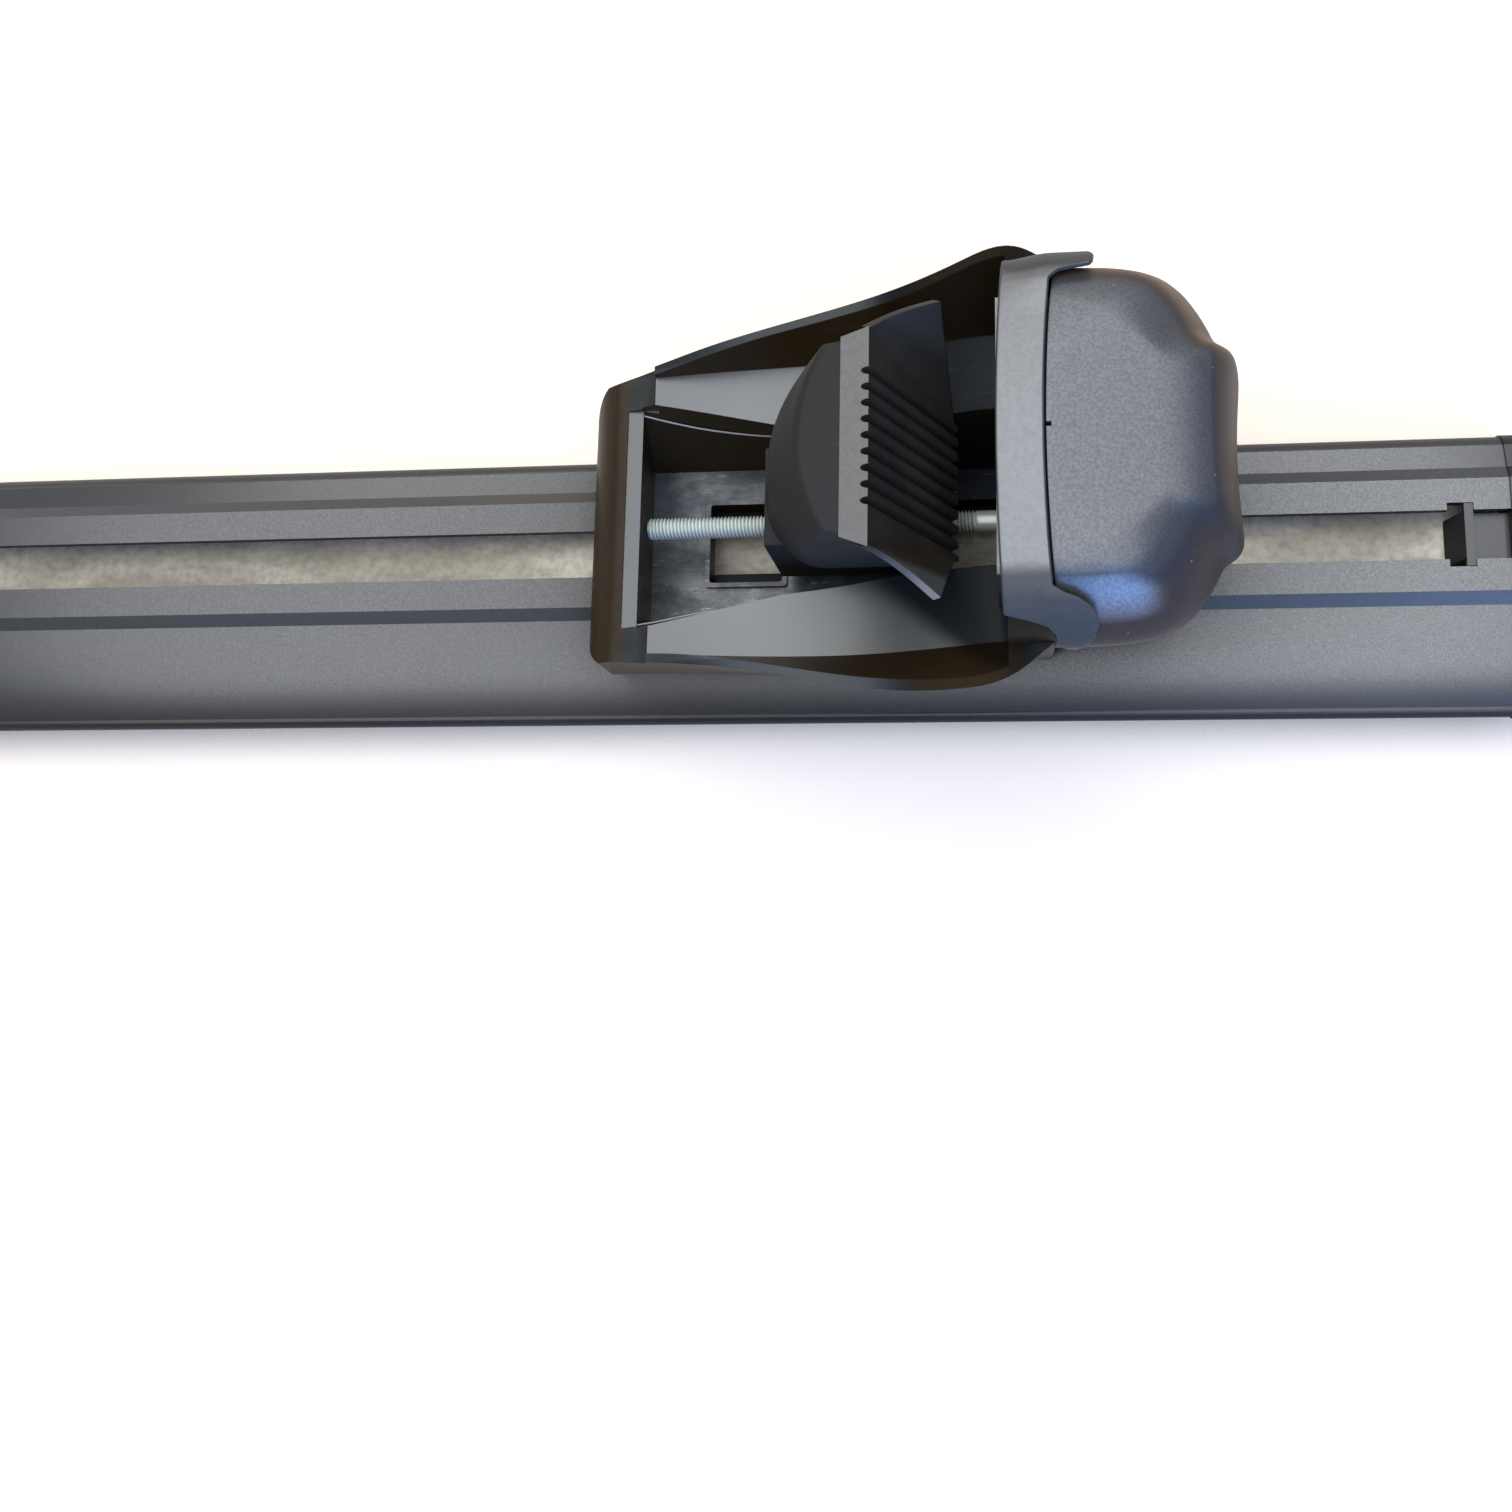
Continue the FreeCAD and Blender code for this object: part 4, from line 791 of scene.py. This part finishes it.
padSize = {
    "top": 91.5, "bottom": 47.0, "backX": 13.0, "frontX": 19.6, "bottomFrontX": 38.3,
    "halfBack": 24.0, "halfFront": 26.4, "halfBottom": 18.0,
    "grooves": 9, "pitch": 3.9, "grooveHalf": 0.95, "grooveDepth": 1.8, "groovedHalf": 17.2,
    # point spacing from a groove's middle, and from the pad's side to where its grooves begin
    "grooveSteps": [0.3, 0.6, 0.8, 0.93, 0.985, 1.0, 1.15], "sideSteps": [1.0, 0.6, 0.25],
    # wings: how their upper edges bow, the near one's hollow and the far one's full
    "tip": (35.7, 36.2, 82.0), "wingThick": 1.8, "wingFoot": 49.0, "wingBow": (-0.495, 0.315, 0.9),
    "nearHollow": 2.2, "nearLean": 0.7, "farFull": 0.8, "lowBow": (0.0, 0.2, 0.5), "tipTaper": 0.02,
}
padSlope = (padSize["bottomFrontX"] - padSize["frontX"]) / (padSize["top"] - padSize["bottom"])


def wingSolid(sign):
    # a thin curved sheet from the pad's side out to the wing's tip
    p = padSize
    tip = np.array(p["tip"])
    footX = p["frontX"] + padSlope * (p["top"] - p["wingFoot"])
    # both start a little inside the pad
    root = np.array([p["frontX"], p["halfFront"] - 0.4, p["top"] - 0.05])
    foot = np.array([footX, p["halfBottom"] - 0.1, p["wingFoot"]])
    u = np.linspace(0.0, 1.0, 15)[:, None, None]
    v = np.linspace(0.0, 1.0, 15)[None, :, None]
    bulge = p["farFull"] * np.sin(u * math.pi)
    if sign < 0:
        bulge = -p["nearHollow"] * np.sin(u ** p["nearLean"] * math.pi)
    high = root + (tip - root) * u + np.array(p["wingBow"]) * bulge
    low = foot + (tip - foot) * u - np.array(p["lowBow"]) * np.sin(u * math.pi)
    front = high + (low - high) * v * (1.0 - p["tipTaper"] * u)
    back = front + np.array([-p["wingThick"], 0.5, -0.15])
    return shell(*[sheet * np.array([1.0, sign, 1.0]) for sheet in (front, back)])


def padSolid():
    p = padSize
    middles = (np.arange(p["grooves"]) - (p["grooves"] - 1) / 2.0) * p["pitch"]
    steps = np.array(p["grooveSteps"])
    steps = np.concatenate([-steps[::-1], [0.0], steps])
    grooved = np.concatenate([m + steps * p["grooveHalf"] for m in middles])
    hollows = [np.sqrt(np.clip(1.0 - ((grooved - m) / p["grooveHalf"]) ** 2, 0.0, 1.0)) for m in middles]
    depth = np.pad(p["grooveDepth"] * sum(hollows), len(p["sideSteps"]))
    rows = []

    def row(x, z, half, share):
        # one line of points across the pad, its grooves as deep as share says
        margin = p["groovedHalf"] + (half - p["groovedHalf"]) * np.array(p["sideSteps"])
        y = np.concatenate([-margin, grooved, margin[::-1]])
        rows.append(np.stack([x - depth * share, y, np.full(len(y), z)], -1))

    def across(first, last, t):
        return p[first] + (p[last] - p[first]) * t

    for t in np.linspace(0.0, 1.0, 7):
        row(across("backX", "frontX", t), p["top"], across("halfBack", "halfFront", t), float(t == 1.0))
    # the flat top stops where a groove starts
    rows[5][:, 0] = np.minimum(rows[5][:, 0], rows[6][:, 0] - 0.05)
    for t in np.linspace(0.0, 1.0, 40)[1:]:
        row(across("frontX", "bottomFrontX", t), across("top", "bottom", t),
            across("halfFront", "halfBottom", t), 1.0)
    backBottom = p["bottomFrontX"] - (p["frontX"] - p["backX"])
    for t in (0.0, 0.33, 0.66):
        row(backBottom + (p["backX"] - backBottom) * t, across("bottom", "top", t),
            across("halfBottom", "halfBack", t), 0.0)
    grid = np.array(rows)
    count, width = grid.shape[:2]
    faces = gridFaces(count, width, closedRows=True)
    faces.append(tuple(i * width for i in range(count)))
    faces.append(tuple(i * width + width - 1 for i in reversed(range(count))))
    return joined((grid.reshape(-1, 3), faces), wingSolid(-1.0), wingSolid(1.0))


padMesh = padSolid()
for side in sides:
    makePiece("jawPad_" + side, padMesh, side, side + "_jaw", finishes["jaw_rubber"],
              ["jaw_pad_" + side], barLayout["jawShift"], sharp=45.0)
print("crossbar: jaw pads made")


# Jaw block

jawSize = {
    "levelZ": [47.5, 62.0, 79.0, 91.2],
    "backX": [-11.5, -8.5, -5.0, 2.5],
    "earX": [2.0, 1.5, 3.9, 9.0],
    "earY": [19.0, 20.5, 22.5, 23.0],
    "frontY": [19.0, 20.5, 23.0, 23.8],
    "edge": 1.6, "gap": 0.02, "softened": 3,
    "stemHalf": 13.0, "stemBack": -11.5, "stemFront": 30.0, "stemBottom": 11.5, "stemTop": 49.0,
    "stemRound": 8.0,
}


def jawSolid():
    j = jawSize
    top = j["levelZ"][-1]
    edgeFrom = top - j["edge"]
    heights = list(np.linspace(j["levelZ"][0], edgeFrom, 42))
    heights += [edgeFrom + j["edge"] * math.sin(a) for a in np.linspace(0.0, math.pi / 2, 6)[1:]]
    rings = []
    for z in heights:
        inset = j["edge"] - math.sqrt(max(0.0, j["edge"] ** 2 - max(0.0, z - edgeFrom) ** 2))
        back, earX, earY, frontY = [float(smoothTable(z, j["levelZ"], j[key]))
                                    for key in ("backX", "earX", "earY", "frontY")]
        earX += inset * 0.5
        earY -= inset
        frontY -= inset
        frontX = padSize["backX"] + padSlope * (padSize["top"] - z) - j["gap"]
        bow = circleThrough((earX, earY), (back + inset, 0.0), (earX, -earY), 45)
        t = np.linspace(0.0, 1.0, 16)[:-1]
        upper = np.stack([frontX + (earX - frontX) * t, frontY + (earY - frontY) * t], 1)
        ring = np.concatenate([upper, bow, upper[::-1] * np.array([1.0, -1.0])])
        # soften the ear where the side turns into the bowed back
        for turn in range(j["softened"]):
            soft = (np.roll(ring, 1, 0) + np.roll(ring, -1, 0) + 2 * ring) / 4.0
            ring[4:-4] = soft[4:-4]
        rings.append(np.concatenate([ring, np.full((len(ring), 1), z)], 1))
    stem = []
    low, rounding = j["stemBottom"], j["stemRound"]
    lift = [low + rounding * (1.0 - math.cos(a)) for a in np.linspace(0.0, math.pi / 2, 9)] + [j["stemTop"]]
    for z in lift:
        drop = max(0.0, rounding - (z - low))
        half = j["stemHalf"] - rounding + math.sqrt(max(0.0, rounding ** 2 - drop ** 2))
        stem.append([(j["stemFront"], half, z), (j["stemBack"], half, z), (j["stemBack"], -half, z),
                     (j["stemFront"], -half, z)])
    return joined(ringStack(rings), ringStack(stem))


jawMesh = jawSolid()
for side in sides:
    makePiece("jawBody_" + side, jawMesh, side, side + "_jaw", finishes["jaw_plastic"],
              ["jaw_block_" + side], barLayout["jawShift"], sharp=50.0)
print("crossbar: jaws made")


# Clamp rod

rodSize = {
    "start": -50.2, "threadEnd": 41.0, "headX": 57.7, "height": 23.0, "major": 3.0, "minor": 2.42,
    "shank": 2.92, "pitch": 1.0, "runOut": 1.5, "tip": 1.1, "tipRadius": 1.6, "around": 28,
    "headRadius": 5.0, "headLength": 6.0, "headEdge": 0.5, "socket": 2.9, "socketDepth": 3.0,
    "headAround": 48,
}


def rodSolid():
    r = rodSize
    around = r["around"]
    angle = np.arange(around) / around * math.tau
    x = np.arange(r["start"], r["headX"], r["pitch"] / 8.0)
    phase = (x[:, None] / r["pitch"] - angle[None, :] / math.tau) % 1.0
    crest = np.clip(1.35 - np.abs(phase - 0.5) * 3.4, 0.0, 1.0)
    threaded = 1.0 - softStep(x, r["threadEnd"] - r["runOut"], r["threadEnd"])[:, None]
    radius = (r["minor"] + (r["major"] - r["minor"]) * crest) * threaded + r["shank"] * (1.0 - threaded)
    fromTip = 1.0 - np.clip((x - r["start"]) / r["tip"], 0.0, 1.0)[:, None]
    nose = r["tipRadius"] + (r["major"] - r["tipRadius"]) * np.sqrt(np.clip(1.0 - fromTip ** 2, 0.0, 1.0))
    radius = np.minimum(radius, nose)
    rod = [ring(along, 0.0, r["height"], radii, angle) for along, radii in zip(x, radius)]
    # the head, with a hexagon socket in its end
    turn = np.arange(r["headAround"]) / r["headAround"] * math.tau
    sixth = math.pi / 6
    hexagon = math.cos(sixth) / np.cos((turn + sixth) % (2.0 * sixth) - sixth)
    rim = r["headRadius"] - r["headEdge"]
    profile = [(0.0, r["headRadius"]), (r["headLength"] - r["headEdge"], r["headRadius"]),
               (r["headLength"], rim), (r["headLength"], r["socket"] * hexagon),
               (r["headLength"] - r["socketDepth"], r["socket"] * hexagon)]
    head = [ring(r["headX"] + along, 0.0, r["height"], size, turn) for along, size in profile]
    return joined(ringStack(rod), ringStack(head))


rodMesh = rodSolid()
rodFinish = zincFinish("threadedZinc", True)
for side in sides:
    makePiece("clampRod_" + side, rodMesh, side, side + "_bolt", rodFinish,
              ["clamp_bolt_" + side], sharp=32.0)
print("crossbar: rods made")


# Floor, light and camera

stageLook = {
    "floor": 6.0, "shade": 0.28, "near": 0.88, "nearWarm": 0.16, "outer": 0.06, "glow": 0.3, "far": 0.95,
    "whiteFrom": (0.9, 2.4),
    # contact shadow along the bar's rear edge
    "contactReach": 0.022, "contact": (0.1, 0.9, 0.3, 1.0),
    # the room, and the height at which its white fades for the background rays
    "sky": 0.12, "skyColour": (0.97, 0.98, 1.0, 1.0), "skyFade": (0.1, 0.5, 1.0, 0.0),
    "lamps": [
        # name, place, aim, size along, size across, radiance, colour
        ("overheadLeft", (-0.35, 0.5, 1.35), None, 0.9, 2.8, 1.42, (0.98, 0.99, 1.0)),
        ("overheadRight", (0.62, 0.5, 1.35), None, 1.04, 2.8, 2.28, (0.93, 0.96, 1.0)),
        ("coolSide", (0.85, -1.15, 0.7), (0.48, 0.0, 0.08), 0.9, 0.8, 6.4, (0.19, 0.41, 1.0)),
        ("warmSide", (0.1, 1.75, 0.3), (0.44, 0.0, 0.08), 0.9, 0.4, 1.6, (1.0, 0.62, 0.36)),
    ],
}


def floorFinish():
    # pale near the part, where its shadow falls, and evenly white further out
    k = stageLook
    f = Finish("paleFloor")
    away = f.node("ShaderNodeVectorMath", {"operation": "LENGTH"}, {0: f.place}, 1)
    share = away.spread(*k["whiteFrom"])
    # painted contact shadow: darker close beside the bar, on its rear side only
    clear = f.openness(k["contactReach"]).spread(*k["contact"]).joined("MAXIMUM", f.y.above(0.0))
    lit = f.mixed(clear, grey(0.0), f.mixed(share, grey(k["near"], k["nearWarm"]), grey(k["outer"])))
    glowing = f.mixed(clear, grey(0.0), f.mixed(share, grey(k["glow"]), grey(k["far"])))
    seen = f.seenDirectly()
    colour = f.mixed(seen, grey(k["shade"]), lit)
    glow = f.mixed(seen, grey(0.0), glowing)
    return f.surface(colour, 0.9, Specular_IOR_Level=0.0, Emission_Color=glow, Emission_Strength=1.0)


def makeFloor():
    reach = stageLook["floor"]
    mesh = bpy.data.meshes.new("floor")
    mesh.from_pydata([(-reach, -reach, 0.0), (reach, -reach, 0.0), (reach, reach, 0.0), (-reach, reach, 0.0)],
                     [], [(0, 1, 2, 3)])
    floor = bpy.data.objects.new("floor", mesh)
    bpy.context.scene.collection.objects.link(floor)
    mesh.materials.append(floorFinish())


def makeWorld():
    # an even room, which the background rays see as white that fades upward
    world = bpy.data.worlds.new("room")
    world.use_nodes = True
    f = NodeTree(world.node_tree)
    rise = f.node("ShaderNodeSeparateXYZ", {}, {0: f.node("ShaderNodeTexCoord", {}, {}, "Generated")}, 2)
    share = f.seenDirectly() * rise.spread(*stageLook["skyFade"])
    strength = share * (1.0 - stageLook["sky"]) + stageLook["sky"]
    sky = f.node("ShaderNodeBackground", {}, {"Color": stageLook["skyColour"], "Strength": strength})
    f.node("ShaderNodeOutputWorld", {}, {"Surface": sky})
    bpy.context.scene.world = world


def makeLamps():
    for name, place, aim, along, across, radiance, colour in stageLook["lamps"]:
        data = bpy.data.lights.new(name, "AREA")
        data.shape = "RECTANGLE"
        data.size = along
        data.size_y = across
        data.energy = radiance * math.pi * along * across
        data.color = colour
        lamp = bpy.data.objects.new(name, data)
        bpy.context.scene.collection.objects.link(lamp)
        lamp.location = place
        if aim:
            lamp.rotation_mode = "QUATERNION"
            lamp.rotation_quaternion = (Vector(aim) - Vector(place)).to_track_quat("-Z", "Y")


cameraView = {
    "place": (0.45449, -0.12362, 0.4502),
    "turn": (10.2517, 6.9115, 0.6542),
    "lens": 36.406, "sensor": 36.0, "shift": (-0.05425, -0.03035),
}


def makeCamera():
    data = bpy.data.cameras.new("photoView")
    data.lens = cameraView["lens"]
    data.sensor_width = cameraView["sensor"]
    data.sensor_fit = "HORIZONTAL"
    data.shift_x, data.shift_y = cameraView["shift"]
    data.clip_start = 0.01
    data.clip_end = 20.0
    camera = bpy.data.objects.new("photoView", data)
    bpy.context.scene.collection.objects.link(camera)
    camera.location = cameraView["place"]
    camera.rotation_euler = [math.radians(a) for a in cameraView["turn"]]
    bpy.context.scene.camera = camera


makeFloor()
makeWorld()
makeLamps()
makeCamera()
bpy.context.scene.view_settings.view_transform = "Standard"
print("crossbar: stage, light and camera set")
